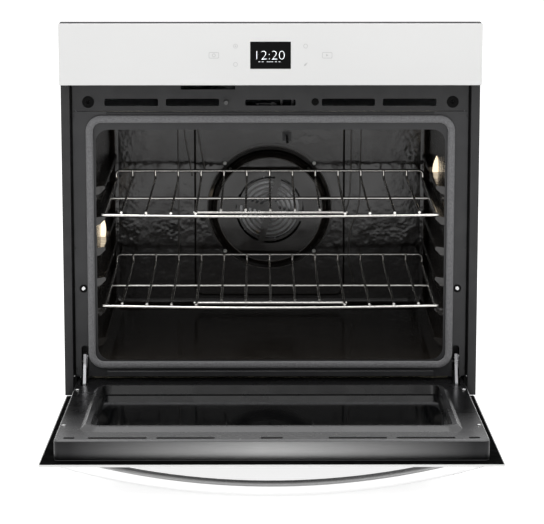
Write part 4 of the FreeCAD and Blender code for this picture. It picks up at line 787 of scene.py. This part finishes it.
# ---- dark window printed on the front of the door's glass ---------------------------
DOOR_FACE = PANEL_FRONT
FRONT_WINDOW_HALF = 285.0 * MM
FRONT_WINDOW_LOW = 130.0 * MM
FRONT_WINDOW_HIGH = 535.0 * MM
FRONT_WINDOW_CORNER = 10.0 * MM
PRINT_THICK = 0.12 * MM


def make_front_window():
    """Dark print on the outer face of the door's glass."""
    outline = rounded_rect(FRONT_WINDOW_HALF, FRONT_WINDOW_LOW, FRONT_WINDOW_HIGH,
                           FRONT_WINDOW_CORNER)
    bm = bmesh.new()
    plate_rings(bm, [[opened(x, DOOR_FACE, z) for x, z in outline],
                     [opened(x, DOOR_FACE - PRINT_THICK, z) for x, z in outline]])
    add_piece("door_front_window", mesh_of(bm, "door_front_window"), "window_glass", "door",
              smooth=False)


# ---- black strips of painted shade in the joint between the front frame and the side trims ---
JOINT_INNER = 358.1 * MM
JOINT_OUTER = 361.7 * MM
JOINT_FACE = -294.2 * MM
JOINT_BACK = -293.7 * MM
JOINT_LOW = 86.0 * MM
JOINT_HIGH = 624.0 * MM
JOINT_CORNER = 0.6 * (JOINT_OUTER - JOINT_INNER) / 2
FLANGE_INNER = 352.2 * MM
FLANGE_Y = -263.0 * MM
FLANGE_THICK = 1.0 * MM
FLANGE_LOW = 12.0 * MM
FLANGE_HIGH = 92.0 * MM
FOOT_INNER = 356.2 * MM
FOOT_THICK = 41.0 * MM
FOOT_LOW = 51.0 * MM
FOOT_HIGH = 83.8 * MM
FLANGE_CORNER = 1.5 * MM
STRIP_STEPS = 4


def make_joint_shade_strips():
    """Black strips of painted shade in the joints beside the front frame, deeper ones at the foot."""
    bm = bmesh.new()
    for side in (-1, 1):
        middle = side * (JOINT_INNER + JOINT_OUTER) / 2
        half = (JOINT_OUTER - JOINT_INNER) / 2
        outline = rounded_rect(half, JOINT_LOW, JOINT_HIGH, JOINT_CORNER, STRIP_STEPS)
        outline = moved(outline, middle, 0)
        plate_rings(bm, [[(x, JOINT_BACK, z) for x, z in outline],
                         [(x, JOINT_FACE, z) for x, z in outline]])
        for inner, thick, low, high in ((FLANGE_INNER, FLANGE_THICK, FLANGE_LOW, FLANGE_HIGH),
                                        (FOOT_INNER, FOOT_THICK, FOOT_LOW, FOOT_HIGH)):
            middle = side * (inner + JOINT_OUTER) / 2
            half = (JOINT_OUTER - inner) / 2
            outline = rounded_rect(half, low, high, FLANGE_CORNER, STRIP_STEPS)
            outline = moved(outline, middle, 0)
            plate_rings(bm, [[(x, FLANGE_Y, z) for x, z in outline],
                             [(x, FLANGE_Y - thick, z) for x, z in outline]])
    add_piece("joint_strips", mesh_of(bm, "joint_strips"), "black_rings", smooth=False)


# ---- pressed lines of the cavity's back wall ----------------------------------------
SHEET = 1.2 * MM
PLATEAU = 6.0 * MM
WALL_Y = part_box("cavity_liner")[1][1] - SHEET
PLATE_Y = WALL_Y - PLATEAU
BEAD_RISE = 1.3 * MM
BEAD_HALF = 1.6 * MM
BEAD_TAPER = 0.15
BEAD_STEPS = 8
FAN_Z = JOINTS["convection_fan_spin"]["pos_m"][2]
COVER_FACE_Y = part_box("fan_cover")[0][1]
COVER_RIM_R = 105.0 * MM
COVER_FOOT_R = 125.2 * MM
COVER_FOOT_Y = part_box("fan_cover")[1][1] - SHEET
SCREW_ANGLE = 45.0
SCREW_GAP = 4.0
RIM_STEPS = 96
FOOT_STEPS = 24
RING_HALF = 0.9 * MM
RING_RISE = 0.6 * MM
# Lighter than the cavity's enamel: a painted highlight on the channels and rings.
LINE_HIGHLIGHT_ENAMEL = (0.09, 0.082, 0.075)
# Runs of the channels in x and z, in millimetres.
LEFT_OUTER = [(-174, 520), (-171, 470), (-162, 415), (-156, 380)]
FAR_LEFT = [(-186, 520), (-184, 440), (-184, 200), (-186, 150)]
RIGHT_OUTER = [(184, 520), (183, 400), (180, 320), (164, 268), (160, 215), (172, 160)]
RIGHT_INNER = [(165, 520), (164, 400), (160, 330), (146, 285), (141, 215), (150, 160)]
WALL_LINES = (LEFT_OUTER, FAR_LEFT, RIGHT_OUTER, RIGHT_INNER)
PLATE_LINE = [(-146, 520), (-143, 470), (-134, 415), (-128, 388)]


def bead(bm, points, y, half=BEAD_HALF, rise=BEAD_RISE):
    """A raised half-round line pressed into a wall, along points in x and z."""
    rings = []
    for i, (x, z) in enumerate(points):
        before = points[max(i - 1, 0)]
        after = points[min(i + 1, len(points) - 1)]
        size = math.dist(before, after)
        nx, nz = -(after[1] - before[1]) / size, (after[0] - before[0]) / size
        fade = BEAD_TAPER if i in (0, len(points) - 1) else 1.0
        ring = []
        for k in range(BEAD_STEPS + 1):
            angle = math.pi * k / BEAD_STEPS
            off = half * fade * math.cos(angle)
            ring.append((x + nx * off, y - rise * fade * math.sin(angle), z + nz * off))
        rings.append(ring)
    plate_rings(bm, rings)


def curve_through(points, steps=10):
    """Smooth line through a few points in x and z (Catmull-Rom)."""
    padded = [points[0]] + list(points) + [points[-1]]
    line = []
    for a, b, c, d in zip(padded, padded[1:], padded[2:], padded[3:]):
        for i in range(steps):
            t = i / steps
            line.append(tuple(0.5 * (2 * b[k] + (c[k] - a[k]) * t
                                     + (2 * a[k] - 5 * b[k] + 4 * c[k] - d[k]) * t ** 2
                                     + (3 * b[k] - a[k] - 3 * c[k] + d[k]) * t ** 3)
                              for k in range(2)))
    line.append(tuple(points[-1]))
    return line


def millimetres(points):
    return [(x * MM, z * MM) for x, z in points]


def make_wall_lines():
    """Pressed channels beside the fan, and rings on the rim and foot of its cover, in a lighter enamel that is a
    painted highlight.
    """
    bm = bmesh.new()
    for line in WALL_LINES:
        bead(bm, curve_through(millimetres(line)), WALL_Y)
    bead(bm, curve_through(millimetres(PLATE_LINE)), PLATE_Y)
    rim = [(x, z + FAN_Z) for x, z in circle(COVER_RIM_R, RIM_STEPS)]
    bead(bm, rim + rim[:1], COVER_FACE_Y, RING_HALF, RING_RISE)
    for quarter in range(4):
        start = math.radians(90 * quarter + SCREW_ANGLE + SCREW_GAP)
        sweep = math.radians(90 - 2 * SCREW_GAP)
        turns = [start + sweep * k / FOOT_STEPS for k in range(FOOT_STEPS + 1)]
        arc = [(COVER_FOOT_R * math.cos(turn), FAN_Z + COVER_FOOT_R * math.sin(turn)) for turn in turns]
        bead(bm, arc, COVER_FOOT_Y, RING_HALF, RING_RISE)
    add_piece("wall_lines", mesh_of(bm, "wall_lines"), "cavity_enamel",
              look=enamel("look_wall_lines", LINE_HIGHLIGHT_ENAMEL, rough=0.08, wave=0.1 * MM))


make_camera()
make_light()
make_floor()
give_looks()
make_display_window()
make_clock()
make_dashes()
make_icons()
make_seal()
fluffed("insulation_blanket", "cavity_batt", "fibre_blanket", "chassis", CAVITY_VOXEL, CAVITY_DIMPLE)
fluffed("door_insulation", "door_batt", "fibre_blanket", "door", DOOR_VOXEL, DOOR_DIMPLE)
make_wall_lines()
make_end_band()
make_joint_shade_strips()
make_front_window()
